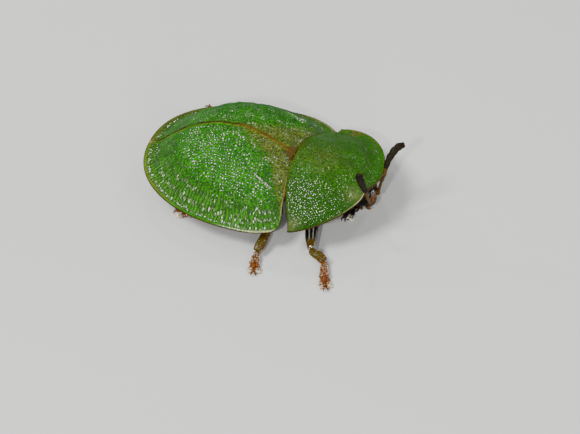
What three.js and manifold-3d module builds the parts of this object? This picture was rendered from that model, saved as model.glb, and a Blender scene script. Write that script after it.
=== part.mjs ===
import * as THREE from "three";
import { mergeVertices } from "three/addons/utils/BufferGeometryUtils.js";
import Module from "manifold-3d";

// A tortoise beetle, life-size, standing on six feet with its pronotum tipped up at the front.
// Millimetres. X runs to the head, Y to the beetle's left, Z up. Z 0 is the rim of the wing cases.

// Elytra: the two wing cases, one dome with a flat rim, parted by the suture.
const rear_tip_x = -3.5;
const widest_x = 0.17;
const elytra_half_width = 2.58;
const elytra_outline_power = 2.22;
const elytra_front_reach = 2.22;
const dome_peak_x = -0.5;
const dome_peak_height = 1.66;
const dome_steepness = 1.2;
const dome_side_power = 2.6;
const dome_front_easing = 0.95;
const dome_rear_easing = 0.4;
const brim_slope = 0.5;
const brim_blend = 0.07;
const rim_curl = 0.014;
const elytra_base_x = 1.12;
const elytra_base_slope = 0.12;
const elytra_thickness = 0.45;
const elytra_rim_thickness = 0.16;
const elytra_middle = [-0.7, 0.95];
const suture_gap = 0.03;

// Scutellum: the small triangle between the bases of the elytra.
const scutellum_half_width = 0.27;
const scutellum_length = 0.34;
const scutellum_front_x = 1.1;

// Pronotum: the shield over the head, in its own tilted frame whose X 0 is at its hind corners.
const pronotum_corner_x = 1.664;
const pronotum_corner_z = 0.053;
const pronotum_tilt = 0.322;
const pronotum_length = 2.207;
const pronotum_half_width = 2.263;
const pronotum_outline_power = 1.87;
const pronotum_height = 1.03;
const pronotum_dome_x = -0.3;
const pronotum_steepness = 1.3;
const pronotum_side_power = 2.3;
const pronotum_front_easing = 0.3;
const pronotum_brim_slope = 0.22;
const pronotum_brim_blend = 0.08;
const pronotum_hind_x = -0.2;
const pronotum_hind_bow = 0.22;
const pronotum_thickness = 0.4;
const pronotum_rim_thickness = 0.14;

// Underside and head.
const floor_z = -0.75;
const keel_z = -0.35;
const keel_half_width = 0.5;
const keel_slope_width = 0.42;
const belly_z = -0.08;
const abdomen_half_width = 1.82;
const thorax_half_width = 1.66;
const joint_gap = 0.04;
const head_centre = [3.13, 0, 0.08];
const head_radii = [0.45, 0.44, 0.44];
const head_boxiness = 2.5;
const eye_centre = [3.57, 0.33, 0.41];
const eye_radii = [0.1, 0.1, 0.13];

// Mesh fineness.
const limb_sides = 8;
const limb_rings = 6;
const limb_bluntness = 12;

const wasm = await Module();
wasm.setup();

const beetle = new THREE.Group();
beetle.name = "tortoise_beetle";

const looks = {
  elytra: { color: 0x3d7a1e, roughness: 0.42, metalness: 0 },
  pronotum: { color: 0x4a8024, roughness: 0.5, metalness: 0 },
  scutellum: { color: 0x7a4a20, roughness: 0.5, metalness: 0 },
  underside: { color: 0x17130f, roughness: 0.55, metalness: 0 },
  head: { color: 0x241a12, roughness: 0.5, metalness: 0 },
  eye: { color: 0x070606, roughness: 0.15, metalness: 0 },
  mouth: { color: 0x6b4322, roughness: 0.5, metalness: 0 },
  antenna: { color: 0x9a6a38, roughness: 0.5, metalness: 0 },
  club: { color: 0x3a2618, roughness: 0.6, metalness: 0 },
  femur: { color: 0x2a1e12, roughness: 0.45, metalness: 0 },
  tibia: { color: 0x8a6a2c, roughness: 0.5, metalness: 0 },
  tarsus: { color: 0x6a4228, roughness: 0.7, metalness: 0 },
  claws: { color: 0x4a2814, roughness: 0.4, metalness: 0 },
};

function add(parent, name, geometry, look) {
  const mesh = new THREE.Mesh(geometry, new THREE.MeshStandardMaterial(looks[look]));
  mesh.name = name;
  parent.add(mesh);
  return mesh;
}

// Welds a remapped geometry into one closed surface and turns it to face out.
function closed(geometry) {
  geometry.deleteAttribute("normal");
  geometry.deleteAttribute("uv");
  const whole = mergeVertices(geometry, 1e-4);
  const p = whole.attributes.position;
  const index = whole.index.array;
  let volume = 0;
  const a = new THREE.Vector3();
  const b = new THREE.Vector3();
  const c = new THREE.Vector3();
  for (let i = 0; i < index.length; i += 3) {
    a.fromBufferAttribute(p, index[i]);
    b.fromBufferAttribute(p, index[i + 1]);
    c.fromBufferAttribute(p, index[i + 2]);
    volume += a.dot(b.cross(c));
  }
  if (volume < 0) {
    for (let i = 0; i < index.length; i += 3) {
      [index[i + 1], index[i + 2]] = [index[i + 2], index[i + 1]];
    }
  }
  whole.computeVertexNormals();
  return whole;
}

// A sphere's net with each vertex moved by place(ring, side), ring 0..1 from pole to pole.
function from_net(sides, rings, place) {
  const net = new THREE.SphereGeometry(1, sides, rings);
  const p = net.attributes.position;
  const uv = net.attributes.uv;
  for (let i = 0; i < p.count; i++) {
    const ring = Math.round((1 - uv.getY(i)) * rings);
    const pole = ring === 0 || ring === rings;
    const side = pole ? 0 : Math.round(uv.getX(i) * sides) % sides;
    const [x, y, z] = place(ring, side);
    p.setXYZ(i, x, y, z);
  }
  return closed(net);
}

function solid(geometry) {
  const numbers = Float32Array.from(geometry.attributes.position.array);
  const triangles = Uint32Array.from(geometry.index.array);
  return new wasm.Manifold(new wasm.Mesh({ numProp: 3, vertProperties: numbers, triVerts: triangles }));
}

function surface(body) {
  const whole = body.getMesh();
  const geometry = new THREE.BufferGeometry();
  geometry.setAttribute("position", new THREE.BufferAttribute(whole.vertProperties, 3));
  geometry.setIndex(new THREE.BufferAttribute(whole.triVerts, 1));
  return geometry;
}

// The largest body left of a solid once its neighbours, grown by the joint gap, are cut away.
function trimmed(body, neighbours) {
  const rest = neighbours.reduce((left, n) => left.subtract(n), body);
  const pieces = rest.decompose().sort((a, b) => b.volume() - a.volume());
  return pieces[0].simplify(0.008);
}

function smooth_max(a, b, width) {
  return 0.5 * (a + b + Math.sqrt((a - b) ** 2 + width ** 2));
}

// The distance from centre at which inside(x, y) turns false, along one angle.
function reach(centre, angle, inside) {
  let low = 0;
  let high = 8;
  for (let k = 0; k < 40; k++) {
    const middle = (low + high) / 2;
    const x = centre[0] + middle * Math.cos(angle);
    const y = centre[1] + middle * Math.sin(angle);
    if (inside(x, y)) low = middle;
    else high = middle;
  }
  return low;
}

// A plate with the outline inside(x, y) between top(x, y) and bottom(x, y, share of the way out).
function plate(centre, inside, top, bottom, corners, fineness) {
  const [plate_angles, plate_rings] = fineness;
  const rim = [];
  const marks = [...corners].sort((a, b) => a - b);
  const spans = marks.map((m, i) => (marks[(i + 1) % marks.length] - m + 2 * Math.PI) % (2 * Math.PI));
  if (marks.length === 1) spans[0] = 2 * Math.PI;
  const counts = spans.map((s) => Math.max(2, Math.round((s / (2 * Math.PI)) * plate_angles)));
  counts[counts.indexOf(Math.max(...counts))] += plate_angles - counts.reduce((a, b) => a + b, 0);
  marks.forEach((mark, i) => {
    for (let k = 0; k < counts[i]; k++) {
      const angle = mark + (spans[i] * k) / counts[i];
      rim.push([angle, reach(centre, angle, inside)]);
    }
  });
  const shares = Array.from({ length: plate_rings }, (_, i) => Math.sin((Math.PI / 2) * (i / plate_rings)) * 0.985);
  return from_net(plate_angles, 2 * plate_rings, (ring, side) => {
    const edge = ring === plate_rings;
    const over = ring < plate_rings;
    const share = edge ? 1 : shares[over ? ring : 2 * plate_rings - ring];
    const [angle, length] = rim[side];
    const x = centre[0] + share * length * Math.cos(angle);
    const y = centre[1] + share * length * Math.sin(angle);
    const high = top(x, y);
    const low = bottom(x, y, share);
    return [x, y, edge ? (high + low) / 2 : over ? high : low];
  });
}

function superellipse(x, y, ahead, behind, half_width, power) {
  const along = x > 0 ? x / ahead : x / behind;
  return (Math.abs(along) ** power + Math.abs(y / half_width) ** power) ** (1 / power);
}

// A dome that is 1 high in the middle and runs out to 0 in a flatter brim, share 0..1 of the way out.
function dome(share, power, steepness, slope, blend) {
  const edge = smooth_max(1 - steepness, 0, blend);
  return smooth_max(1 - steepness * share ** power, slope * (1 - share), blend) - edge * share ** 6;
}

function elytra_gauge(x, y) {
  const behind = widest_x - rear_tip_x;
  return superellipse(x - widest_x, y, elytra_front_reach, behind, elytra_half_width, elytra_outline_power);
}

function elytra_top(x, y) {
  const dx = x - dome_peak_x;
  const angle = Math.atan2(Math.abs(y), dx);
  const rim = reach([dome_peak_x, 0], angle, (u, v) => elytra_gauge(u, v) < 1);
  const share = Math.hypot(dx, y) / rim;
  const forward = Math.max(0, Math.cos(angle));
  const backward = Math.max(0, -Math.cos(angle));
  const power = dome_side_power - dome_front_easing * forward ** 2 - dome_rear_easing * backward ** 2;
  const rim_z = rim_curl * (x - widest_x) ** 2;
  return rim_z + (dome_peak_height - rim_z) * dome(share, power, dome_steepness, brim_slope, brim_blend);
}

function elytra_base(y) {
  return elytra_base_x + elytra_base_slope * Math.abs(y);
}

function plate_depth(thick, thin, share) {
  const t = THREE.MathUtils.smoothstep(share, 0.55, 0.95);
  return thick + (thin - thick) * t;
}

function elytra_bottom(x, y) {
  return elytra_top(x, y) - plate_depth(elytra_thickness, elytra_rim_thickness, elytra_gauge(x, y));
}

// True in the notch that the scutellum fills, widened by margin.
function in_scutellum(x, y, margin) {
  const from_tip = x - (scutellum_front_x - scutellum_length) + margin * 1.6;
  return from_tip > 0 && Math.abs(y) < (scutellum_half_width * from_tip) / scutellum_length + margin * 0.4;
}

for (const [side, name] of [[1, "elytron_left"], [-1, "elytron_right"]]) {
  const centre = [elytra_middle[0], side * elytra_middle[1]];
  const inside = (x, y) =>
    y * side > suture_gap / 2 && elytra_gauge(x, y) < 1 && x < elytra_base(y) && !in_scutellum(x, y, joint_gap);
  const corner = (x, y) => Math.atan2(y * side - centre[1], x - centre[0]);
  const notch_tip = scutellum_front_x - scutellum_length - joint_gap * 1.6;
  const notch_edge = scutellum_half_width + joint_gap * 1.4;
  const corners = [corner(rear_tip_x, 0.02), corner(notch_tip, 0.02), corner(1.13, notch_edge), corner(1.42, 2.22)];
  add(beetle, name, plate(centre, inside, elytra_top, elytra_bottom, corners, [40, 7]), "elytra");
}

const scutellum_centre = [scutellum_front_x - 0.1, 0];
const scutellum_inside = (x, y) => in_scutellum(x, y, 0) && x < scutellum_front_x;
const scutellum_corners = [
  Math.atan2(scutellum_half_width, 0.1),
  Math.PI,
  Math.atan2(-scutellum_half_width, 0.1),
];
const scutellum_low = (x, y) => elytra_top(x, y) - 0.35;
add(
  beetle,
  "scutellum",
  plate(scutellum_centre, scutellum_inside, elytra_top, scutellum_low, scutellum_corners, [18, 3]),
  "scutellum",
);

// Pronotum, built level and then tipped.
const shield = new THREE.Group();
shield.position.set(pronotum_corner_x, 0, pronotum_corner_z);
shield.rotation.y = -pronotum_tilt;
beetle.add(shield);

function pronotum_gauge(x, y) {
  return superellipse(Math.max(x, 0), y, pronotum_length, 1, pronotum_half_width, pronotum_outline_power);
}

function pronotum_hind(y) {
  return pronotum_hind_x + pronotum_hind_bow * Math.abs(y / pronotum_half_width) ** 3;
}

function pronotum_top(x, y) {
  const dx = x - pronotum_dome_x;
  const angle = Math.atan2(Math.abs(y), dx);
  const rim = reach([pronotum_dome_x, 0], angle, (u, v) => pronotum_gauge(u, v) < 1);
  const share = Math.hypot(dx, y) / rim;
  const power = pronotum_side_power - pronotum_front_easing * Math.max(0, Math.cos(angle));
  return pronotum_height * dome(share, power, pronotum_steepness, pronotum_brim_slope, pronotum_brim_blend);
}

const pronotum_bottom = (x, y) =>
  pronotum_top(x, y) - plate_depth(pronotum_thickness, pronotum_rim_thickness, pronotum_gauge(x, y));
const pronotum_centre = [0.7, 0];
const pronotum_corner = Math.atan2(pronotum_half_width - 0.03, -pronotum_centre[0] + 0.02);

// The pronotum plate, grown on every side by margin.
function pronotum_plate(margin) {
  return plate(
    pronotum_centre,
    (x, y) => pronotum_gauge(x, y) < 1 + margin / pronotum_half_width && x > pronotum_hind(y) - margin,
    (x, y) => pronotum_top(x, y) + margin,
    (x, y) => pronotum_bottom(x, y) - margin,
    [pronotum_corner, -pronotum_corner],
    [40, 6],
  );
}
add(shield, "pronotum", pronotum_plate(0), "pronotum");

// Underside: abdomen and the two hind thorax rings, fitted below the elytra.
const under_elytra = (x, y) =>
  Math.min(elytra_bottom(x, y) - joint_gap, elytra_top(x, y) - elytra_thickness * 0.8 - joint_gap);

// The belly: a keel that carries the coxae, with a hollow at each side for the thighs.
function belly(x, y) {
  const out = THREE.MathUtils.smoothstep(Math.abs(y), keel_half_width, keel_half_width + keel_slope_width);
  return keel_z + (belly_z - keel_z) * out;
}

const trunk = [];
function add_trunk(name, geometry) {
  add(beetle, name, geometry, "underside");
  trunk.push(solid(geometry).translate([0, 0, -joint_gap]));
}

const abdomen_inside = (x, y) => x < -0.32 && superellipse(x + 0.32, y, 1, 2.5, abdomen_half_width, 2.2) < 1;
const abdomen_corner = Math.atan2(abdomen_half_width - 0.02, 0.96);
add_trunk(
  "abdomen",
  plate([-1.3, 0], abdomen_inside, under_elytra, belly, [abdomen_corner, -abdomen_corner], [30, 5]),
);

const thorax_top = (x, y) => Math.min(under_elytra(x, y), 0.6);
const thorax_inside = (x, y) => Math.abs(x - 0.4) < 0.68 && Math.abs(y) < thorax_half_width - 0.12 * Math.abs(x);
const thorax_corners = [Math.atan2(1.52, 0.68), Math.atan2(1.62, -0.68)];
add_trunk(
  "hind_thorax",
  plate(
    [0.4, 0],
    thorax_inside,
    thorax_top,
    belly,
    [...thorax_corners, ...thorax_corners.map((angle) => -angle)],
    [28, 4],
  ),
);

// The front thorax ring under the pronotum, and the head before it.
function shield_underside(x, y) {
  const c = Math.cos(pronotum_tilt);
  const s = Math.sin(pronotum_tilt);
  const local = (x - pronotum_corner_x) * c;
  const lifted = pronotum_bottom(Math.max(local, pronotum_hind(y)), y);
  return pronotum_corner_z + (x - pronotum_corner_x) * s * 0.95 + lifted * c - 0.08;
}

const front_thorax_inside = (x, y) => superellipse(x - 1.95, y, 0.66, 0.78, 1.15, 3.2) < 1;
const front_thorax_top = (x, y) => Math.min(shield_underside(x, y) - 0.1, 0.5);
add_trunk("front_thorax", plate([1.95, 0], front_thorax_inside, front_thorax_top, belly, [0], [24, 4]));

// An ellipsoid whose underside or front can be drawn out by shape(unit point).
function ball(centre, radii, sides, rings, shape) {
  return from_net(sides, rings, (ring, side) => {
    const polar = (Math.PI * ring) / rings;
    const turn = (2 * Math.PI * side) / sides;
    const unit = [Math.sin(polar) * Math.cos(turn), Math.sin(polar) * Math.sin(turn), Math.cos(polar)];
    const [x, y, z] = shape ? shape(unit) : unit;
    return [centre[0] + radii[0] * x, centre[1] + radii[1] * y, centre[2] + radii[2] * z];
  });
}

function head_shape([x, y, z]) {
  const power = head_boxiness;
  const k = (Math.abs(x) ** power + Math.abs(y) ** power + Math.abs(z) ** power) ** (-1 / power);
  return [x * k, y * k * (1 + 0.1 * z), z * k];
}
add(beetle, "head", ball(head_centre, head_radii, 18, 10, head_shape), "head");
const head_room = head_radii.map((r) => r + joint_gap);
const eyes = [];
for (const [side, name] of [[1, "eye_left"], [-1, "eye_right"]]) {
  const centre = [eye_centre[0], side * eye_centre[1], eye_centre[2]];
  eyes.push([name, ball(centre, eye_radii, 12, 8)]);
}

// A limb through points, with [half width, half height] at even shares of its length.
function limb_skin(points, widths, { rings = limb_rings, up = [0, 0, 1], low = floor_z, grow = 0 }) {
  const curve = new THREE.CatmullRomCurve3(points.map((p) => new THREE.Vector3(...p)));
  const upward = new THREE.Vector3(...up);
  return from_net(limb_sides, rings, (ring, side) => {
    const t = (1 - Math.cos((Math.PI * ring) / rings)) / 2;
    const at = curve.getPointAt(t);
    const along = curve.getTangentAt(t);
    const across = new THREE.Vector3().crossVectors(upward, along).normalize();
    const over = new THREE.Vector3().crossVectors(along, across);
    const where = t * (widths.length - 1);
    const k = Math.min(Math.floor(where), widths.length - 2);
    const width = THREE.MathUtils.lerp(widths[k][0], widths[k + 1][0], where - k) + grow;
    const height = THREE.MathUtils.lerp(widths[k][1], widths[k + 1][1], where - k) + grow;
    const end = Math.max(0, 1 - Math.abs(2 * t - 1) ** limb_bluntness) ** 0.5;
    const turn = (2 * Math.PI * (side + 0.5)) / limb_sides;
    at.addScaledVector(across, end * width * Math.cos(turn));
    at.addScaledVector(over, end * height * Math.sin(turn));
    at.addScaledVector(along, grow * (2 * t - 1));
    return [at.x, at.y, Math.max(at.z, low - grow)];
  });
}

function limb(points, widths, options = {}) {
  const body = solid(limb_skin(points, widths, options));
  return surface(trimmed(body, options.cut || []));
}

function grown(points, widths) {
  return solid(limb_skin(points, widths, { grow: joint_gap }));
}

const grown_head = solid(ball(head_centre, head_room, 18, 10, head_shape));
for (const [name, eye] of eyes) {
  add(beetle, name, surface(trimmed(solid(eye), [grown_head])), "eye");
}

// Mouthparts: the clypeus and labrum as one piece, and a palp at each side.
const muzzle = [[3.5, 0, -0.2], [3.44, 0, -0.4], [3.3, 0, -0.5]];
const muzzle_widths = [[0.2, 0.1], [0.18, 0.1], [0.1, 0.06]];
add(beetle, "mouthparts", limb(muzzle, muzzle_widths, { up: [1, 0, 0.4], cut: [grown_head] }), "mouth");
for (const [side, name] of [[1, "palp_left"], [-1, "palp_right"]]) {
  const path = [[3.06, side * 0.24, -0.28], [3.14, side * 0.27, -0.37], [3.24, side * 0.24, -0.41]];
  add(beetle, name, limb(path, [[0.09, 0.09], [0.1, 0.1], [0.07, 0.07]], { cut: [grown_head] }), "mouth");
}

// Antennae: scape, stem of slender joints and club of broad ones, thicker here than in life.
const antennae = {
  left: {
    scape: [[3.52, 0.2, -0.14], [3.58, 0.15, 0], [3.64, 0.13, 0.18]],
    stem: [[3.64, 0.13, 0.18], [3.72, 0.15, 0.45], [3.8, 0.21, 0.68], [3.82, 0.31, 0.86]],
    club: [[3.82, 0.31, 0.86], [3.87, 0.46, 1.12], [4, 0.66, 1.33], [4.21, 0.89, 1.38]],
  },
  right: {
    scape: [[3.46, -0.3, -0.04], [3.57, -0.48, 0.12], [3.6, -0.57, 0.24]],
    stem: [[3.6, -0.57, 0.24], [3.64, -0.72, 0.46], [3.66, -0.84, 0.7], [3.65, -0.9, 0.97]],
    club: [[3.65, -0.9, 0.97], [3.61, -0.98, 1.24], [3.58, -1.05, 1.5], [3.53, -1.06, 1.76]],
  },
};
const tilt_degrees = THREE.MathUtils.radToDeg(pronotum_tilt);
const shield_room = solid(pronotum_plate(joint_gap))
  .rotate([0, -tilt_degrees, 0])
  .translate([pronotum_corner_x, 0, pronotum_corner_z]);
const scape_widths = [[0.09, 0.09], [0.1, 0.1]];
const stem_widths = [[0.09, 0.09], [0.09, 0.09], [0.11, 0.11]];
const club_widths = [[0.12, 0.12], [0.16, 0.16], [0.16, 0.16], [0.1, 0.1]];
const around = [grown_head, shield_room];
for (const [side, part] of Object.entries(antennae)) {
  const scape_room = grown(part.scape, scape_widths);
  const stem_room = grown(part.stem, stem_widths);
  add(beetle, `antenna_${side}_scape`, limb(part.scape, scape_widths, { cut: [grown_head] }), "antenna");
  add(beetle, `antenna_${side}_stem`, limb(part.stem, stem_widths, { cut: [scape_room, ...around] }), "antenna");
  add(beetle, `antenna_${side}_club`, limb(part.club, club_widths, { cut: [stem_room, shield_room] }), "club");
}

// Legs: coxa in the body's underside, femur, tibia, tarsus with a two-lobed sole, and claws.
const legs = {
  fore_right: {
    coxa: [1.96, -0.42],
    femur: [[1.98, -0.66, -0.46], [2.14, -1.5, -0.36], [2.43, -2.36, -0.35]],
    tibia: [[2.43, -2.35, -0.36], [2.54, -2.43, -0.38], [2.72, -2.46, -0.43], [2.9, -2.54, -0.52]],
    tarsus: [[2.88, -2.55, -0.55], [3.02, -2.92, -0.62], [3.18, -3.26, -0.66]],
    claw: [3.25, -3.42],
  },
  mid_right: {
    coxa: [0.76, -0.46],
    femur: [[0.78, -0.7, -0.48], [0.88, -1.25, -0.4], [0.92, -1.8, -0.36]],
    tibia: [[0.92, -1.8, -0.37], [0.93, -2.2, -0.38], [0.91, -2.5, -0.44], [0.87, -2.72, -0.53]],
    tarsus: [[0.87, -2.72, -0.56], [0.92, -3.02, -0.63], [1.01, -3.31, -0.66]],
    claw: [1.04, -3.45],
  },
  hind_right: {
    coxa: [-0.02, -0.46],
    femur: [[-0.06, -0.7, -0.5], [-0.2, -1.2, -0.42], [-0.3, -1.74, -0.38]],
    tibia: [[-0.3, -1.72, -0.38], [-0.6, -1.76, -0.4], [-0.88, -1.74, -0.46], [-1.12, -1.7, -0.53]],
    tarsus: [[-1.12, -1.68, -0.56], [-1.5, -1.7, -0.63], [-1.86, -1.73, -0.66]],
    claw: [-2.02, -1.74],
  },
  fore_left: {
    coxa: [1.96, 0.42],
    femur: [[2.04, 0.64, -0.46], [2.4, 1.1, -0.36], [2.78, 1.5, -0.32]],
    tibia: [[2.78, 1.48, -0.33], [2.95, 1.16, -0.36], [3.01, 0.8, -0.46], [3.0, 0.42, -0.53]],
    tarsus: [[3.0, 0.42, -0.56], [2.91, -0.02, -0.64], [2.81, -0.4, -0.66]],
    claw: [2.78, -0.56],
  },
  mid_left: {
    coxa: [0.76, 0.46],
    femur: [[0.74, 0.7, -0.48], [0.62, 1.2, -0.4], [0.5, 1.72, -0.36]],
    tibia: [[0.5, 1.7, -0.37], [0.4, 1.95, -0.38], [0.32, 2.15, -0.44], [0.26, 2.34, -0.53]],
    tarsus: [[0.26, 2.33, -0.56], [0.18, 2.55, -0.63], [0.1, 2.8, -0.66]],
    claw: [0.05, 2.95],
  },
  hind_left: {
    coxa: [-0.02, 0.46],
    femur: [[-0.1, 0.68, -0.5], [-0.5, 1.12, -0.42], [-0.92, 1.52, -0.38]],
    tibia: [[-0.92, 1.5, -0.38], [-1.26, 1.68, -0.4], [-1.66, 1.9, -0.46], [-2.0, 2.12, -0.53]],
    tarsus: [[-1.99, 2.11, -0.56], [-2.3, 2.36, -0.63], [-2.6, 2.6, -0.66]],
    claw: [-2.76, 2.71],
  },
};
const coxa_radii = [0.21, 0.25, 0.1];
const coxa_z = -0.46;
const femur_widths = [[0.16, 0.14], [0.22, 0.2], [0.22, 0.2], [0.18, 0.17]];
const tibia_widths = [[0.15, 0.15], [0.16, 0.16], [0.18, 0.17], [0.18, 0.16]];
const tarsus_widths = [[0.16, 0.14], [0.18, 0.15], [0.21, 0.14], [0.17, 0.12]];
const lobe_offset = 0.12;
const lobe_length = 0.34;
const lobe_widths = [[0.09, 0.11], [0.11, 0.11]];
const claw_widths = [[0.06, 0.06], [0.045, 0.045]];
for (const [name, leg] of Object.entries(legs)) {
  const tip = new THREE.Vector3(...leg.tarsus[2]);
  const along = new THREE.Vector3(leg.claw[0] - tip.x, leg.claw[1] - tip.y, 0).normalize();
  const across = new THREE.Vector3(-along.y, along.x, 0);
  const step = (from, forward, sideways, up) => {
    const point = from.clone().addScaledVector(along, forward).addScaledVector(across, sideways);
    return [point.x, point.y, point.z + up];
  };
  const coxa = [leg.coxa[0], leg.coxa[1], coxa_z];
  const coxa_room = solid(ball(coxa, coxa_radii.map((r) => r + joint_gap), 10, 6));
  add(beetle, `${name}_coxa`, surface(trimmed(solid(ball(coxa, coxa_radii, 10, 6)), trunk)), "underside");
  add(beetle, `${name}_femur`, limb(leg.femur, femur_widths, { cut: [coxa_room, ...trunk] }), "femur");
  add(beetle, `${name}_tibia`, limb(leg.tibia, tibia_widths, { cut: [grown(leg.femur, femur_widths)] }), "tibia");

  const shin_room = grown(leg.tibia, tibia_widths);
  const lobe = (turn, grow) => {
    const heel = step(tip, -lobe_length / 2, turn * lobe_offset, 0);
    const toe = step(tip, lobe_length / 2, turn * lobe_offset * 1.2, 0);
    return solid(limb_skin([heel, toe], lobe_widths, { rings: 4, grow }));
  };
  const joints = solid(limb_skin(leg.tarsus, tarsus_widths, {}));
  const sole = wasm.Manifold.union([joints, lobe(1, 0), lobe(-1, 0)]);
  add(beetle, `${name}_tarsus`, surface(trimmed(sole, [shin_room])), "tarsus");

  const hooks = [1, -1].map((turn) =>
    solid(
      limb_skin(
        [
          step(tip, lobe_length / 2 - 0.02, turn * 0.02, 0.02),
          step(tip, lobe_length / 2 + 0.12, turn * 0.07, 0.03),
          step(tip, lobe_length / 2 + 0.18, turn * 0.11, -0.02),
        ],
        claw_widths,
        { rings: 4 },
      ),
    ),
  );
  const sole_room = [grown(leg.tarsus, tarsus_widths), lobe(1, joint_gap), lobe(-1, joint_gap)];
  add(beetle, `${name}_claws`, surface(trimmed(wasm.Manifold.union(hooks), sole_room)), "claws");
}

// The model's frame: the middle of its box over X 0, Y 0, and the floor at Z 0.
beetle.updateMatrixWorld(true);
const box = new THREE.Box3().setFromObject(beetle, true);
beetle.position.set(-(box.min.x + box.max.x) / 2, -(box.min.y + box.max.y) / 2, -floor_z);

export default beetle;
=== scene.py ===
"""A life-size green tortoise beetle on six feet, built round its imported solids, on a plain studio floor."""
import math
from types import SimpleNamespace

import bpy
import numpy as np
from bpy.props import FloatProperty, FloatVectorProperty, IntProperty, PointerProperty
from mathutils import Matrix, Vector


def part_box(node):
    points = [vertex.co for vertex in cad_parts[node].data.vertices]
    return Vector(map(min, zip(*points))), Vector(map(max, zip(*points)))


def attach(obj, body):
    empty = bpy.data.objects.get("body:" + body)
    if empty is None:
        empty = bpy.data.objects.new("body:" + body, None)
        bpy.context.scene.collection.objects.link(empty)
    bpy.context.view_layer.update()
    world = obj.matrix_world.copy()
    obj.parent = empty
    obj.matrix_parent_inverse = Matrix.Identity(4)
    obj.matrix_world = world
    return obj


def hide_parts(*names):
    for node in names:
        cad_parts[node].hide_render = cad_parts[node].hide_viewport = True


bl_info = {
    "name": "Tortoise Beetle Model",
    "version": (1, 0, 0),
    "blender": (4, 5, 0),
    "location": "3D View > Sidebar > Beetle",
    "description": "Builds the shell plates, head, feelers, legs and hairs of a tortoise beetle",
    "category": "Add Mesh",
}

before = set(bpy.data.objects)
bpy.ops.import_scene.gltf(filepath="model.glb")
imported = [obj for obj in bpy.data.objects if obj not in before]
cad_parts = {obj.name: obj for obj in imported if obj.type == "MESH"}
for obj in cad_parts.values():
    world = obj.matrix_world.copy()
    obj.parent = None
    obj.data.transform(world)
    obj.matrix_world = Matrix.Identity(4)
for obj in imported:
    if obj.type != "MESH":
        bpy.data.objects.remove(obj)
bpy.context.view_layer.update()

# The beetle's own frame is in millimetres: X to the head, Y to its left, Z up, Z 0 at the rim of the wing
# cases.
MM = 0.001
FLOOR_Z = -0.75
THORAX_MIDDLE_X = 0.4


def frame_shift():
    """Where the beetle's own zero lies in the row frame, in millimetres, from the hind thorax solid."""
    low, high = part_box("hind_thorax")
    return np.array([
        (low[0] + high[0]) / 2 / MM - THORAX_MIDDLE_X,
        (low[1] + high[1]) / 2 / MM,
        -FLOOR_Z,
    ])


SHIFT = frame_shift()


# Shapes of the wing cases and the pronotum, the same as in the solids.

REAR_TIP_X = -3.5
WIDEST_X = 0.17
HALF_WIDTH = 2.58
OUTLINE_POWER = 2.22
FRONT_REACH = 2.22
PEAK_X = -0.5
PEAK_HEIGHT = 1.66
RIM_CURL = 0.014
BASE_X = 1.12
BASE_SLOPE = 0.12

CORNER_X = 1.664
CORNER_Z = 0.053
TILT = 0.322
SHIELD_LENGTH = 2.207
SHIELD_HALF_WIDTH = 2.263
SHIELD_POWER = 1.87
SHIELD_HEIGHT = 1.03
SHIELD_DOME_X = -0.3
SHIELD_HIND_X = -0.2
SHIELD_HIND_BEND = 0.22
WING_DOME = {"steepness": 1.2, "slope": 0.5, "blend": 0.07}
SHIELD_DOME = {"steepness": 1.3, "slope": 0.22, "blend": 0.08}

SCUTELLUM_FRONT_X = 1.1
SCUTELLUM_LENGTH = 0.34
SCUTELLUM_HALF_WIDTH = 0.27

KEEL_Z = -0.35
BELLY_Z = -0.08
COXA_Z = -0.46
ABDOMEN_HALF_WIDTH = 1.82
THORAX_HALF_WIDTH = 1.66
FRONT_THORAX_X = 1.95

HEAD_CENTRE = (3.13, 0, 0.08)
HEAD_RADII = (0.45, 0.44, 0.44)
HEAD_BOXINESS = 2.5
EYE_CENTRE = (3.57, 0.33, 0.41)
EYE_RADII = (0.1, 0.1, 0.13)

# Centre lines of the feelers from root to tip, and their joints as
# (start share, end share, root, widest and tip radius).
FEELERS = {
    "left": [[3.52, 0.2, -0.14], [3.58, 0.15, 0.0], [3.64, 0.13, 0.18], [3.72, 0.15, 0.45],
             [3.8, 0.21, 0.68], [3.815, 0.31, 0.86], [3.855, 0.42, 1.07], [3.925, 0.55, 1.225],
             [4.015, 0.68, 1.355], [4.11, 0.8, 1.39], [4.21, 0.895, 1.375]],
    "right": [[3.46, -0.3, -0.04], [3.57, -0.48, 0.12], [3.62, -0.64, 0.34], [3.66, -0.83, 0.66],
              [3.65, -0.9, 0.97], [3.61, -0.98, 1.24], [3.58, -1.05, 1.5], [3.55, -1.08, 1.71],
              [3.52, -1.05, 1.79]],
}
FEELER_SCAPE = ((0.0, 0.13, 0.055, 0.075, 0.055), (0.12, 0.2, 0.04, 0.055, 0.042))
FEELER_STEM = ((0.19, 0.29, 0.034, 0.042, 0.036), (0.28, 0.37, 0.036, 0.045, 0.04),
               (0.36, 0.45, 0.04, 0.05, 0.046), (0.44, 0.52, 0.046, 0.06, 0.058))
FEELER_CLUB = ((0.5, 0.61, 0.06, 0.085, 0.083), (0.6, 0.71, 0.084, 0.102, 0.1),
               (0.7, 0.81, 0.1, 0.112, 0.108), (0.8, 0.91, 0.106, 0.11, 0.098),
               (0.9, 1.0, 0.098, 0.08, 0.012))

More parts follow.
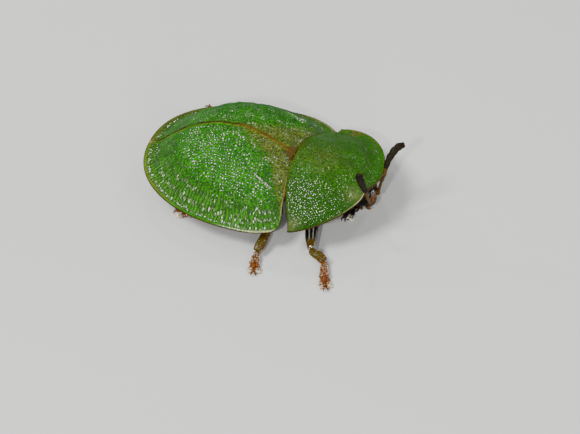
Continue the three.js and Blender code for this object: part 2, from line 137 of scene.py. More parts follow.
# Centre lines of the legs: from the body out to the knee, from the knee to the ankle, and along the foot.
LEGS = {
    "fore_right": {
        "coxa": (1.96, -0.42),
        "femur": [[1.98, -0.66, -0.46], [2.14, -1.5, -0.36], [2.43, -2.36, -0.35]],
        "tibia": [[2.43, -2.35, -0.36], [2.54, -2.43, -0.38], [2.72, -2.46, -0.43], [2.9, -2.54, -0.52]],
        "tarsus": [[2.88, -2.55, -0.55], [3.02, -2.92, -0.62], [3.18, -3.26, -0.66]],
        "claw": (3.25, -3.42),
    },
    "mid_right": {
        "coxa": (0.76, -0.46),
        "femur": [[0.78, -0.7, -0.48], [0.88, -1.25, -0.4], [0.92, -1.8, -0.36]],
        "tibia": [[0.92, -1.8, -0.37], [0.93, -2.2, -0.38], [0.91, -2.5, -0.44], [0.87, -2.72, -0.53]],
        "tarsus": [[0.87, -2.72, -0.56], [0.92, -3.02, -0.63], [1.01, -3.31, -0.66]],
        "claw": (1.04, -3.45),
    },
    "hind_right": {
        "coxa": (-0.02, -0.46),
        "femur": [[-0.06, -0.7, -0.5], [-0.2, -1.2, -0.42], [-0.3, -1.74, -0.38]],
        "tibia": [[-0.3, -1.72, -0.38], [-0.6, -1.76, -0.4], [-0.88, -1.74, -0.46], [-1.12, -1.7, -0.53]],
        "tarsus": [[-1.12, -1.68, -0.56], [-1.5, -1.7, -0.63], [-1.86, -1.73, -0.66]],
        "claw": (-2.02, -1.74),
    },
    "fore_left": {
        "coxa": (1.96, 0.42),
        "femur": [[2.04, 0.64, -0.46], [2.4, 1.1, -0.36], [2.78, 1.5, -0.32]],
        "tibia": [[2.78, 1.48, -0.33], [2.95, 1.16, -0.36], [3.01, 0.8, -0.46], [3.0, 0.42, -0.53]],
        "tarsus": [[3.0, 0.42, -0.56], [2.91, -0.02, -0.64], [2.81, -0.4, -0.66]],
        "claw": (2.78, -0.56),
    },
    "mid_left": {
        "coxa": (0.76, 0.46),
        "femur": [[0.74, 0.7, -0.48], [0.62, 1.2, -0.4], [0.5, 1.72, -0.36]],
        "tibia": [[0.5, 1.7, -0.37], [0.4, 1.95, -0.38], [0.32, 2.15, -0.44], [0.26, 2.34, -0.53]],
        "tarsus": [[0.26, 2.33, -0.56], [0.18, 2.55, -0.63], [0.1, 2.8, -0.66]],
        "claw": (0.05, 2.95),
    },
    "hind_left": {
        "coxa": (-0.02, 0.46),
        "femur": [[-0.1, 0.68, -0.5], [-0.5, 1.12, -0.42], [-0.92, 1.52, -0.38]],
        "tibia": [[-0.92, 1.5, -0.38], [-1.26, 1.68, -0.4], [-1.66, 1.9, -0.46], [-2.0, 2.12, -0.53]],
        "tarsus": [[-1.99, 2.11, -0.56], [-2.3, 2.36, -0.63], [-2.6, 2.6, -0.66]],
        "claw": (-2.76, 2.71),
    },
}
LOBE_HEIGHT = 0.06
LOBE_RADII = [[0.055, 0.055], [0.095, 0.065], [0.112, 0.06], [0.08, 0.045]]
SHIN_RADII = [[0.1, 0.1], [0.125, 0.115], [0.148, 0.13], [0.12, 0.11]]
THIGH_RADII = [[0.13, 0.12], [0.2, 0.18], [0.19, 0.17], [0.11, 0.115]]
HIP_RADII = [[0.1, 0.1], [0.13, 0.13], [0.11, 0.11]]
COXA_RADII = (0.2, 0.24, 0.12)
CLAW_JOINT_RADII = [[0.035, 0.035], [0.045, 0.045], [0.06, 0.05]]
CLAW_RADII = [[0.026, 0.026], [0.022, 0.022], [0.015, 0.015], [0.004, 0.004]]
# A claw from its root: steps ahead, aside and up from the end of the last foot joint.
CLAW_HOOK = ((-0.02, 0.02, 0), (0.04, 0.045, 0.01), (0.08, 0.065, -0.03), (0.09, 0.06, -0.08))
# The first two foot joints: where each begins and ends along the foot, and its radii.
FOOT_JOINTS = (
    (0.0, 0.34, [[0.075, 0.07], [0.095, 0.08], [0.12, 0.09], [0.125, 0.08]]),
    (0.28, 0.68, [[0.095, 0.07], [0.125, 0.085], [0.16, 0.09], [0.16, 0.08]]),
)
# The left fore foot and its claws get a dark finish: painted shade, as they lie under the head.
SHADED_FOOT = "fore_left"
SIDES = ((1, "left"), (-1, "right"))

# The mouth: two lips, a jaw and a palp, the last two given for the left side.
LIP_UP = (1, 0, 0.4)
LIPS = (
    ([[3.46, 0, -0.12], [3.47, 0, -0.24], [3.43, 0, -0.36]], [[0.19, 0.09], [0.2, 0.1], [0.14, 0.07]]),
    ([[3.42, 0, -0.33], [3.4, 0, -0.4], [3.36, 0, -0.45]], [[0.13, 0.05], [0.14, 0.05], [0.09, 0.03]]),
)
JAW_PATH = [[3.34, 0.2, -0.3], [3.4, 0.19, -0.4], [3.37, 0.1, -0.49], [3.33, 0.02, -0.52]]
JAW_RADII = [[0.06, 0.06], [0.06, 0.05], [0.04, 0.04], [0.012, 0.012]]
PALP_PATH = [[3.06, 0.24, -0.28], [3.14, 0.27, -0.37], [3.24, 0.24, -0.41]]
PALP_JOINTS = ((0.0, 0.36, 0.05), (0.33, 0.68, 0.062), (0.65, 1.0, 0.05))

# How far the stain reaches from the suture, as distances along and across, on the near and the far side.
STAIN_NEAR = ([-1.2, -0.46, 0.18, 0.75, 0.85, 1.05, 1.3], [0.1, 0.24, 0.46, 0.75, 1.1, 1.4, 1.7])
STAIN_FAR = ([-1.2, 0.06, 0.5, 0.9, 1.2, 1.4], [0.02, 0.24, 0.62, 1.05, 1.35, 1.6])
# Bumps and dents of a wing case: x, y, squeeze along x, width and height.
WING_BUMPS = ((0.86, 1.5, 1, 0.24, 0.05), (0.8, 0.85, 1, 0.3, -0.035), (-1.14, 1.36, 1.6, 0.16, 0.03))
WRINKLE_LENGTH = 0.125
# Spacing of the painted glints along the near rim.
RIM_GLINT_SPACING = 0.085
HALF_SEAM = 0.004
EYE_RECESS = [-0.06, 0, 0.09]
BELLY_GROOVES = (0.8, 1.22, 1.6, 1.98, 2.36)
LEFT_SEED = 11
RIGHT_SEED = 23

# How finely outlines are sought, meshes crowd towards the tips, and shell edges and undersides are stepped.
FARTHEST = 8.0
HALVINGS = 36
SETTLING_STEPS = 80
TIP_CROWDING = 1.7
EDGE_TURNS = (45, 90, 135, 180)
UNDERSIDE_SHARES = (0.97, 0.93, 0.88, 0.8, 0.7, 0.55, 0.4, 0.25, 0.1)
LENSES = 700
LENS_HEIGHT = 0.004

# Bristles: the seeds of their roots and of their ways, then ranges, width and lean as in tuft.
JOINT_COAT = {"count": 110, "seeds": (100, 200), "along": (0.3, 0.98), "long": (0.025, 0.055),
              "width": 0.006, "lean": 1.0}
LOBE_COAT = {"count": 200, "seeds": (300, 400), "along": (0.45, 0.99), "around": (-0.9, math.pi + 0.9),
             "long": (0.025, 0.055), "width": 0.0045, "lean": 1.1}
TOE_COAT = {"count": 120, "seeds": (900, 950), "along": (0.82, 0.99), "around": (0.0, math.pi),
            "long": (0.02, 0.04), "width": 0.01, "lean": 0.6}
SHIN_COAT = {"count": 50, "seeds": (500, 600), "along": (0.2, 0.97), "long": (0.03, 0.07), "width": 0.0035,
             "lean": 1.2}
FEELER_COAT = {"seeds": (700, 800), "along": (0.1, 0.95), "long": (0.02, 0.035), "width": 0.0028,
               "lean": 1.3}
FEELER_CAP = 0.22
HAIR_PATCH = 0.003
CLUB_RADIUS = 0.07
BRISTLE_SCATTER = 0.18
PATCH_CORNERS = [[-1, -1], [1, -1], [0, -0.6], [-0.6, 0.3], [0.6, 0.3], [0, 0.5], [0, 1]]

# The stage: name, place in metres, power setting, share of that power and width of each light.
LIGHTS = (
    ("key", (-0.04, -0.045, 0.1), "key_power", 1.0, 0.035),
    ("fill", (0.08, -0.05, 0.06), "fill_power", 1.0, 0.05),
    ("glint_near", (0.02, -0.09, 0.08), "glint_power", 1.0, 0.007),
    ("glint_low", (0.045, -0.1, 0.022), "glint_power", 0.45, 0.007),
    ("glint_front", (0.1, 0.04, 0.014), "glint_power", 0.5, 0.02),
    ("glint_left", (-0.1, 0.035, 0.045), "rear_power", 1.3, 0.007),
    ("glint_over", (-0.045, 0.005, 0.11), "rear_power", 1.0, 0.007),
    ("glint_top", (-0.03, 0.075, 0.085), "rear_power", 1.0, 0.007),
    ("glint_far", (0.04, 0.075, 0.075), "rear_power", 1.0, 0.007),
)
SKY_TINT = (0.86, 0.9, 0.95, 1)
FLOOR_REACH = 0.5


def smooth_max(a, b, width):
    return 0.5 * (a + b + np.sqrt((a - b) ** 2 + width ** 2))


def smoothstep(value, low, high):
    t = np.clip((value - low) / (high - low), 0, 1)
    return t * t * (3 - 2 * t)


def bell(distance, width):
    return np.exp(-((distance / width) ** 2))


def wing_along(x):
    """How far a point lies ahead of or behind the widest place, as a share of the way to the outline."""
    return np.where(x < WIDEST_X, (x - WIDEST_X) / (WIDEST_X - REAR_TIP_X), (x - WIDEST_X) / FRONT_REACH)


def wing_gauge(x, y):
    """1 on the outline of the wing cases, less inside."""
    across = np.abs(y / HALF_WIDTH) ** OUTLINE_POWER
    return (np.abs(wing_along(x)) ** OUTLINE_POWER + across) ** (1 / OUTLINE_POWER)


def wing_half_width(x):
    return HALF_WIDTH * np.clip(1 - np.abs(wing_along(x)) ** OUTLINE_POWER, 0, 1) ** (1 / OUTLINE_POWER)


def reach(centre_x, angle, gauge):
    """How far the outline lies from (centre_x, 0) at each angle."""
    low = np.zeros_like(angle)
    high = np.full_like(angle, FARTHEST)
    for _ in range(HALVINGS):
        middle = (low + high) / 2
        inside = gauge(centre_x + middle * np.cos(angle), middle * np.sin(angle)) < 1
        low = np.where(inside, middle, low)
        high = np.where(inside, high, middle)
    return low


def from_middle(x, y, middle_x, gauge):
    """The angle of a point seen from (middle_x, 0), and its share of the way out to the outline."""
    angle = np.arctan2(np.abs(y), x - middle_x)
    return angle, np.hypot(x - middle_x, y) / reach(middle_x, angle, gauge)


def dome(share, power, steepness, slope, blend):
    """Height of a dome, 1 in the middle and 0 at the rim, which it meets at a steady slope."""
    edge = smooth_max(1 - steepness, 0, blend)
    return smooth_max(1 - steepness * share ** power, slope * (1 - share), blend) - edge * share ** 6


def wing_height(x, y):
    angle, share = from_middle(x, y, PEAK_X, wing_gauge)
    forward = np.clip(np.cos(angle), 0, 1)
    backward = np.clip(-np.cos(angle), 0, 1)
    power = 2.6 - 0.95 * forward ** 2 - 0.4 * backward ** 2
    rim = RIM_CURL * (x - WIDEST_X) ** 2
    return rim + (PEAK_HEIGHT - rim) * dome(share, power, **WING_DOME)


def shield_gauge(x, y):
    """1 on the outline of the pronotum, less inside."""
    ahead = np.clip(x, 0, None) / SHIELD_LENGTH
    return (ahead ** SHIELD_POWER + np.abs(y / SHIELD_HALF_WIDTH) ** SHIELD_POWER) ** (1 / SHIELD_POWER)


def shield_half_width(x):
    ahead = np.clip(x / SHIELD_LENGTH, 0, 1) ** SHIELD_POWER
    return SHIELD_HALF_WIDTH * np.clip(1 - ahead, 0, 1) ** (1 / SHIELD_POWER)


def shield_height(x, y):
    angle, share = from_middle(x, y, SHIELD_DOME_X, shield_gauge)
    power = 2.3 - 0.3 * np.clip(np.cos(angle), 0, 1)
    return SHIELD_HEIGHT * dome(share, power, **SHIELD_DOME)


def shield_hind(y):
    """Where the hind edge of the pronotum lies."""
    return SHIELD_HIND_X + SHIELD_HIND_BEND * np.abs(y / SHIELD_HALF_WIDTH) ** 3


def tipped(points):
    """Turns points of the level pronotum frame into the beetle's frame."""
    c, s = math.cos(TILT), math.sin(TILT)
    x, y, z = points[..., 0], points[..., 1], points[..., 2]
    return np.stack([CORNER_X + x * c - z * s, y, CORNER_Z + x * s + z * c], -1)


def settled(count, step):
    """The values that step leaves as they are, from taking it half way again and again."""
    value = np.full(count, 1.0)
    for _ in range(SETTLING_STEPS):
        value = 0.5 * value + 0.5 * step(value)
    return value


# Surface relief.

def waves(points, size, seed, count=9):
    """Smooth unevenness between about -1 and 1, with features about size across."""
    rng = np.random.default_rng(seed)
    total = np.zeros(points.shape[:-1])
    for _ in range(count):
        way = rng.normal(size=points.shape[-1])
        way *= rng.uniform(0.7, 1.4) * 2 * math.pi / size / np.linalg.norm(way)
        total += np.sin(points @ way + rng.uniform(0, 2 * math.pi))
    return total / math.sqrt(count) / 1.2


def pits(u, v, spacing, size, jitter, seed):
    """Round hollows, 0 to 1 deep, on a loose grid over a surface measured along u and v."""
    rng = np.random.default_rng(seed)
    span = 512
    offset_u = rng.uniform(-jitter, jitter, (span, span))
    offset_v = rng.uniform(-jitter, jitter, (span, span))
    radius = rng.uniform(size[0], size[1], (span, span))
    strength = rng.uniform(0.55, 1.0, (span, span)) * (rng.random((span, span)) > 0.06)
    row = np.floor(v / spacing[1]).astype(int)
    deepest = np.zeros_like(u)
    for dj in (-1, 0, 1):
        j = row + dj
        shifted = u / spacing[0] - 0.5 * (j % 2)
        column = np.floor(shifted).astype(int)
        for di in (-1, 0, 1):
            i = column + di
            a, b = i % span, j % span
            at_u = (i + 0.5 + 0.5 * (j % 2) + offset_u[a, b]) * spacing[0]
            at_v = (j + 0.5 + offset_v[a, b]) * spacing[1]
            share = np.hypot(u - at_u, v - at_v) / radius[a, b]
            deepest = np.maximum(deepest, strength[a, b] * np.clip(1 - share ** 2, 0, 1) ** 1.5)
    return deepest


def arc_lengths(points, axis):
    step = np.linalg.norm(np.diff(points, axis=axis), axis=-1)
    first = np.zeros_like(np.take(step, [0], axis=axis))
    return np.cumsum(np.concatenate([first, step], axis=axis), axis=axis)


def grid_normals(points):
    along = np.gradient(points, axis=0)
    across = np.gradient(points, axis=1)
    normal = np.cross(along, across)
    length = np.linalg.norm(normal, axis=-1, keepdims=True)
    normal = normal / np.maximum(length, 1e-12)
    return np.where(normal[..., 2:] < 0, -normal, normal)


# Meshes.

def new_piece(name, vertices, faces, finish, node, slot, attributes=None):
    """A smooth mesh piece from points in millimetres of the beetle's frame, riding on the root body.

    faces is a list of index arrays, one for the triangles and one for the quads, in any order."""
    mesh = bpy.data.meshes.new(name)
    place = (np.asarray(vertices, dtype=float) + SHIFT) * MM
    faces = [block for block in faces if len(block)]
    corners = np.concatenate([block.ravel() for block in faces]).astype(np.int32)
    sizes = np.concatenate([np.full(len(block), block.shape[1]) for block in faces])
    mesh.vertices.add(len(place))
    mesh.vertices.foreach_set("co", place.ravel())
    mesh.loops.add(len(corners))
    mesh.loops.foreach_set("vertex_index", corners)
    mesh.polygons.add(len(sizes))
    mesh.polygons.foreach_set("loop_start", (np.cumsum(sizes) - sizes).astype(np.int32))
    mesh.update(calc_edges=True)
    mesh.validate()
    mesh.shade_smooth()
    for key, values in (attributes or {}).items():
        layer = mesh.attributes.new(key, "FLOAT", "POINT")
        layer.data.foreach_set("value", np.asarray(values, dtype=np.float32).ravel())
    mesh.materials.append(finish)
    piece = bpy.data.objects.new(name, mesh)
    bpy.context.scene.collection.objects.link(piece)
    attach(piece, "root")
    if node:
        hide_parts(node)
    return piece


def grid_faces(rows, columns, wrap=False, start=0):
    """Quads of a rows x columns grid of vertices, closed round the columns if wrap is true."""
    last = columns if wrap else columns - 1
    i, j = np.meshgrid(np.arange(rows - 1), np.arange(last), indexing="ij")
    nxt = (j + 1) % columns
    here, below = i * columns, (i + 1) * columns
    quads = np.stack([here + j, below + j, below + nxt, here + nxt], -1)
    return quads.reshape(-1, 4) + start


def capped_rings(rows, sides):
    """Faces of rows rings of sides vertices each, and of two more vertices that close the ends."""
    ring = np.arange(sides)
    nxt = (ring + 1) % sides
    hub, last = rows * sides, (rows - 1) * sides
    first = np.stack([np.full(sides, hub), ring, nxt], -1)
    final = np.stack([last + ring, np.full(sides, hub + 1), last + nxt], -1)
    return [grid_faces(rows, sides, wrap=True), first, final]


def outer_loop(rows, columns):
    """The border of a grid, once round."""
    index = np.arange(rows * columns).reshape(rows, columns)
    return np.concatenate([index[0, :-1], index[:-1, -1], index[-1, :0:-1], index[:0:-1, 0]])


def shell(points, under, edge, roundness=0.008):
    """Closes a grid into a thin shell: a rounded edge, then loops drawn in over the underside.

    under(x, y) is the lower surface, and edge the thickness at the border."""
    rows, columns = points.shape[:2]
    loop = outer_loop(rows, columns)
    border = points.reshape(-1, 3)[loop]
    centre = border.mean(0)
    outward = border - centre
    outward[:, 2] = 0
    outward /= np.linalg.norm(outward, axis=1, keepdims=True)
    layers = []
    for turn in EDGE_TURNS:
        angle = math.radians(turn)
        layer = border + outward * roundness * math.sin(angle)
        layer[:, 2] -= edge * (1 - math.cos(angle)) / 2
        layers.append(layer)
    for share in UNDERSIDE_SHARES:
        layer = centre + (border - centre) * share
        layer[:, 2] = under(layer[:, 0], layer[:, 1])
        layers.append(layer)
    middle = centre[None].copy()
    middle[:, 2] = under(middle[:, 0], middle[:, 1])
    vertices = np.concatenate([points.reshape(-1, 3), *layers, middle])
    start, count = rows * columns, len(loop)
    top = grid_faces(rows, columns)
    skirt = grid_faces(len(layers), count, wrap=True, start=start)
    ring = np.arange(count)
    nxt = (ring + 1) % count
    seam = np.stack([loop, start + ring, start + nxt, loop[nxt]], -1)
    last = start + (len(layers) - 1) * count
    fan = np.stack([last + ring, np.full(count, len(vertices) - 1), last + nxt], -1)
    return vertices, [top, seam, skirt, fan]


def underside(height, gauge, settings, gap):
    """The lower surface of a shell plate: thick over the body, thin near the rim, and lower by gap."""
    thick, edge = settings.thickness / MM, settings.edge / MM

    def under(x, y):
        inner = 1 - smoothstep(gauge(x, y), 0.6, 0.9)
        return height(x, y) - edge - (thick - edge) * inner - gap

    return under


def widened(paint, extra):
    """Painted values of a shell's grid, and after them those of its extra edge and underside vertices."""
    return {key: np.concatenate([value.ravel(), np.full(extra, 1.0 if key == "rim" else 0.0)])
            for key, value in paint.items()}


def mesh_columns(settings):
    return settings.columns // 1


def limb_surface(path, radii, t, turn, up=(0, 0, 1), cap=0.5, relief=0.0):
    """Points and outward directions on a limb at shares t of its length and angles turn about it.

    radii are (half width, half height) at even shares. cap rounds the ends over that share of the radius."""
    path, radii = np.asarray(path, dtype=float), np.asarray(radii, dtype=float)
    centre, size = spline(path, t), spline(radii, t)
    ahead = spline(path, np.minimum(t + 0.02, 1)) - spline(path, np.maximum(t - 0.02, 0))
    ahead /= np.linalg.norm(ahead, axis=1, keepdims=True)
    across = np.cross(np.asarray(up, dtype=float), ahead)
    across /= np.linalg.norm(across, axis=1, keepdims=True)
    over = np.cross(ahead, across)
    span = np.linalg.norm(np.diff(path, axis=0), axis=1).sum()
    inset = np.minimum(cap * size.mean(1) / span, 0.5)
    near = np.clip(np.minimum(t, 1 - t) / inset, 0, 1)
    round_off = np.sqrt(1 - (1 - near) ** 2)
    wide = (size[:, 0] + relief) * round_off
    high = (size[:, 1] + relief) * round_off
    point = centre + across * (wide * np.cos(turn))[:, None] + over * (high * np.sin(turn))[:, None]
    outward = across * (np.cos(turn) / size[:, 0])[:, None] + over * (np.sin(turn) / size[:, 1])[:, None]
    outward /= np.linalg.norm(outward, axis=1, keepdims=True)
    return point, outward, ahead


def tube(path, radii, sides=24, steps=48, up=(0, 0, 1), relief=None, cap=0.5):
    """A closed limb through the points of path; relief(t, turn) adds to its radius."""
    t = (1 - np.cos(np.linspace(0, math.pi, steps))) / 2
    rows = steps - 2
    at = np.repeat(t[1:-1], sides)
    angle = np.tile(np.arange(sides) * 2 * math.pi / sides, rows)
    extra = relief(at, angle) if relief else 0.0
    body, _, _ = limb_surface(path, radii, at, angle, up, cap, extra)
    ends = spline(np.asarray(path, dtype=float), np.array([0.0, 1.0]))
    return np.concatenate([body, ends]), capped_rings(rows, sides)


def spline(values, t):
    """A smooth curve through evenly spaced values, read at shares t."""
    count = len(values) - 1
    where = np.clip(np.asarray(t) * count, 0, count - 1e-9)
    k = where.astype(int)
    f = (where - k)[:, None]
    ends = np.concatenate([2 * values[:1] - values[1:2], values, 2 * values[-1:] - values[-2:-1]])
    a, b, c, d = ends[k], ends[k + 1], ends[k + 2], ends[k + 3]
    bend = (2 * a - 5 * b + 4 * c - d) * f ** 2
    return 0.5 * (2 * b + (c - a) * f + bend + (3 * b - a - 3 * c + d) * f ** 3)


def joined(parts):
    """One vertex list and one face list from several."""
    vertices, faces, start = [], [], 0
    for points, blocks in parts:
        vertices.append(points)
        faces += [block + start for block in blocks]
        start += len(points)
    return np.concatenate(vertices), faces


def blob(centre, radii, shape=None, sides=48, rings=32):
    """A closed rounded body; shape(unit) may push its unit sphere's points about."""
    polar = np.linspace(0, math.pi, rings)[1:-1, None]
    turn = (np.arange(sides) * 2 * math.pi / sides)[None]
    unit = np.stack([
        np.sin(polar) * np.cos(turn),
        np.sin(polar) * np.sin(turn),
        np.cos(polar) * np.ones_like(turn),
    ], -1)
    unit = np.concatenate([unit.reshape(-1, 3), [[0, 0, 1], [0, 0, -1]]])
    pushed = shape(unit) if shape else unit
    return np.asarray(centre) + pushed * np.asarray(radii), capped_rings(rings - 2, sides)


# Finishes.

class Finish:
    """A node material whose textures are measured in millimetres."""

    def __init__(self, name):
        self.material = bpy.data.materials.new(name)
        self.material.use_nodes = True
        self.tree = self.material.node_tree
        self.tree.nodes.clear()
        self.shader = self.node("ShaderNodeBsdfPrincipled")
        output = self.node("ShaderNodeOutputMaterial")
        self.tree.links.new(self.shader.outputs[0], output.inputs[0])
        place = self.node("ShaderNodeTexCoord")
        self.place = self.node("ShaderNodeVectorMath", operation="SCALE")
        self.tree.links.new(place.outputs["Object"], self.place.inputs[0])
        self.place.inputs["Scale"].default_value = 1 / MM
        self.place = self.place.outputs[0]

    def node(self, kind, **settings):
        made = self.tree.nodes.new(kind)
        for key, value in settings.items():
            setattr(made, key, value)
        return made

    def feed(self, socket, value):
        if isinstance(value, bpy.types.NodeSocket):
            self.tree.links.new(value, socket)
        else:
            socket.default_value = value

    def noise(self, size, detail=4, roughness=0.55, lift=0.0):
        made = self.node("ShaderNodeTexNoise")
        where = self.place
        if lift:
            moved = self.node("ShaderNodeVectorMath", operation="ADD")
            self.feed(moved.inputs[0], where)
            moved.inputs[1].default_value = (lift, lift, lift)
            where = moved.outputs[0]
        self.feed(made.inputs["Vector"], where)
        made.inputs["Scale"].default_value = 1 / size
        made.inputs["Detail"].default_value = detail
        made.inputs["Roughness"].default_value = roughness
        return made.outputs["Fac"]

    def patches(self, size, low, high, detail=4, roughness=0.55, lift=0.0, to_low=0.0, to_high=1.0):
        """Noise of the given size, made into patches with an edge between low and high."""
        return self.spread(self.noise(size, detail, roughness, lift), low, high, to_low, to_high)

    def cells(self, size):
        made = self.node("ShaderNodeTexVoronoi")
        self.feed(made.inputs["Vector"], self.place)
        made.inputs["Scale"].default_value = 1 / size
        return made.outputs["Distance"]

    def painted(self, name):
        return self.node("ShaderNodeAttribute", attribute_name=name).outputs["Fac"]

    def spread(self, value, low, high, to_low=0.0, to_high=1.0):
        made = self.node("ShaderNodeMapRange", interpolation_type="SMOOTHSTEP")
        self.feed(made.inputs["Value"], value)
        made.inputs["From Min"].default_value = low
        made.inputs["From Max"].default_value = high
        made.inputs["To Min"].default_value = to_low
        made.inputs["To Max"].default_value = to_high
        return made.outputs[0]

    def sum(self, operation, a, b):
        made = self.node("ShaderNodeMath", operation=operation)
        self.feed(made.inputs[0], a)
        self.feed(made.inputs[1], b)
        return made.outputs[0]

    def mix(self, share, a, b):
        made = self.node("ShaderNodeMix", data_type="RGBA")
        self.feed(made.inputs["Factor"], share)
        for socket, value in ((made.inputs[6], a), (made.inputs[7], b)):
            self.feed(socket, value if isinstance(value, bpy.types.NodeSocket) else (*value[:3], 1.0))
        return made.outputs[2]

    def bump(self, height, distance, strength=0.7):
        made = self.node("ShaderNodeBump")
        self.feed(made.inputs["Height"], height)
        made.inputs["Distance"].default_value = distance * MM
        made.inputs["Strength"].default_value = strength
        return made.outputs[0]

    def finish(self, colour, roughness, normal=None, **sockets):
        self.feed(self.shader.inputs["Base Color"], colour)
        self.feed(self.shader.inputs["Roughness"], roughness)
        if normal:
            self.feed(self.shader.inputs["Normal"], normal)
        for key, value in sockets.items():
            self.shader.inputs[key.replace("_", " ")].default_value = value
        return self.material


def srgb(text):
    """A colour typed as six hex digits, as the linear numbers that shaders take."""
    channels = [int(text[k:k + 2], 16) / 255 for k in (0, 2, 4)]
    return tuple(c / 12.92 if c <= 0.04045 else ((c + 0.055) / 1.055) ** 2.4 for c in channels)


def scaled(colour, factor):
    return tuple(channel * factor for channel in colour)


def shell_finish(name, tones, green, second, lift):
    """Pitted green shell: brown stains, painted shade and glints at the pits, pale patches with painted rim
    highlights, an orange seam and a dark rim.

    lift moves the noises, so that two finishes don't show the same patches."""
    f = Finish(name)
    keys = ("pit", "painted_glint", "stain", "ridge", "rim", "pale", "shade")
    pit, painted_glint, stain, ridge, rim, pale, shade = (f.painted(key) for key in keys)
    colour = f.mix(f.patches(0.5, 0.35, 0.68, 5, 0.6, lift), green, second)
    fine = f.noise(0.05, 3, 0.6, lift + 3)
    colour = f.mix(f.spread(fine, 0.42, 0.72, 0.0, 0.5), colour, scaled(green, 1.7))
    dark = f.patches(0.11, 0.48, 0.66, 4, 0.6, lift + 5, 0.0, 0.55)
    colour = f.mix(dark, colour, scaled(green, 0.42))
    grain = f.sum("MULTIPLY", f.noise(0.06, 5, 0.75, lift), 1.5)
    speckled = f.spread(f.sum("ADD", stain, grain), 0.85, 1.7)
    mottle = f.patches(0.045, 0.35, 0.68, 4, 0.7, lift + 2)
    mottled = f.mix(mottle, scaled(tones.stain, 0.5), scaled(tones.stain, 1.5))
    colour = f.mix(f.sum("MULTIPLY", speckled, 0.55), colour, mottled)
    # Darker mottling at random, with painted shade in the furrows of the flat margin and on the near side of
    # the pronotum.
    colour = f.mix(shade, colour, scaled(green, 0.4))
    # Painted shade in and round the pits.
    colour = f.mix(f.spread(pit, 0.02, 0.22, 0.0, 0.85), colour, scaled(green, 0.28))
    # Painted glints: pale spots in the pits.
    lit = f.sum("MULTIPLY", painted_glint, f.patches(0.06, 0.38, 0.56, 3, 0.55, lift + 9, 0.25, 1.0))
    colour = f.mix(lit, colour, tones.painted_glint)
    # Pale patches, partly the shell's own colour and partly painted highlights along the rims and painted
    # sheen on the margin.
    patchy = f.sum("MULTIPLY", pale, f.patches(0.09, 0.35, 0.7, 4, 0.6, 0.0, 0.3, 1.0))
    colour = f.mix(patchy, colour, tones.pale_patch_and_highlight)
    warm = f.mix(f.spread(ridge, 0.55, 0.95), tones.seam_dark, tones.seam)
    colour = f.mix(f.spread(ridge, 0.1, 0.5), colour, warm)
    colour = f.mix(rim, colour, tones.rim)
    rough = f.spread(fine, 0.3, 0.7, 0.5, 0.7)
    normal = f.bump(f.noise(0.025, 3, 0.6), 0.004)
    f.feed(f.shader.inputs["Coat Weight"], f.spread(pit, 0.2, 0.6))
    return f.finish(colour, rough, normal, Coat_Roughness=0.09, Coat_IOR=1.9, Specular_IOR_Level=0.06)


def plain_finish(name, colour, second, roughness=0.45, size=0.1, grain=0.02, lift=0.004, **sockets):
    """Horny surface of two close shades, finely grained."""
    f = Finish(name)
    tone = f.mix(f.patches(size, 0.32, 0.7, 4, 0.6), colour, second)
    fine = f.noise(grain, 3, 0.6)
    rough = f.spread(fine, 0.3, 0.7, roughness - 0.1, roughness + 0.12)
    sockets = {"Specular_IOR_Level": 0.15, **sockets}
    return f.finish(tone, rough, f.bump(fine, lift), **sockets)


def jointed_finish(name, tones, colour, second, light, light_second, gloss, blur, bending=1.5):
    """Dark horny surface, lighter where the joint attribute is painted, with painted highlight lines along
    the thighs.
    """
    f = Finish(name)
    dark = f.mix(f.patches(0.2, 0.35, 0.7), colour, second)
    pale = f.mix(f.patches(0.06, 0.35, 0.65), light, light_second)
    fade = f.spread(f.sum("ADD", f.painted("joint"), f.sum("MULTIPLY", f.noise(0.08), 0.3)), 0.4, 0.9)
    # Painted highlight: pale lines along the thighs.
    tone = f.mix(f.painted("painted_highlight"), f.mix(fade, dark, pale), tones.painted_highlight)
    fine = f.noise(0.03)
    rough = f.spread(fine, 0.3, 0.7, 0.3, 0.45)
    return f.finish(tone, rough, f.bump(fine, 0.004), Specular_IOR_Level=0.04,
                    Coat_Weight=gloss, Coat_Roughness=blur, Coat_IOR=bending)


# Settings.

def length(label, text, default, low, high):
    return FloatProperty(name=label, description=text, default=default * MM, min=low * MM, max=high * MM,
                         unit="LENGTH", precision=6)


def light_power(label, text, default):
    return FloatProperty(name=label, description=text, default=default, min=0, max=20, unit="POWER")


def colour_of(label, text, default):
    return FloatVectorProperty(name=label, description=text, default=srgb(default), size=3, min=0, max=1,
                               subtype="COLOR")


class BeetleShellSettings(bpy.types.PropertyGroup):
    pit_depth: length("Pit depth", "Depth of the pits in the wing cases", 0.016, 0.0, 0.05)
    pit_spacing: length("Pit spacing", "Distance between pits in the wing cases", 0.088, 0.05, 0.2)
    shield_pit_depth: length("Pronotum pit depth", "Depth of the pits in the pronotum", 0.009, 0.0, 0.05)
    shield_pit_spacing: length("Pronotum pit spacing", "Distance between its pits", 0.074, 0.04, 0.2)
    ridge_height: length("Suture height", "Height of the seam between the wing cases", 0.03, 0.0, 0.1)
    thickness: length("Shell thickness", "Thickness of the shell over the body", 0.12, 0.05, 0.3)
    edge: length("Edge thickness", "Thickness of the shell at the rim", 0.035, 0.02, 0.12)
    columns: IntProperty(name="Fineness", description="Mesh columns along a wing case", default=560,
                         min=60, max=700)


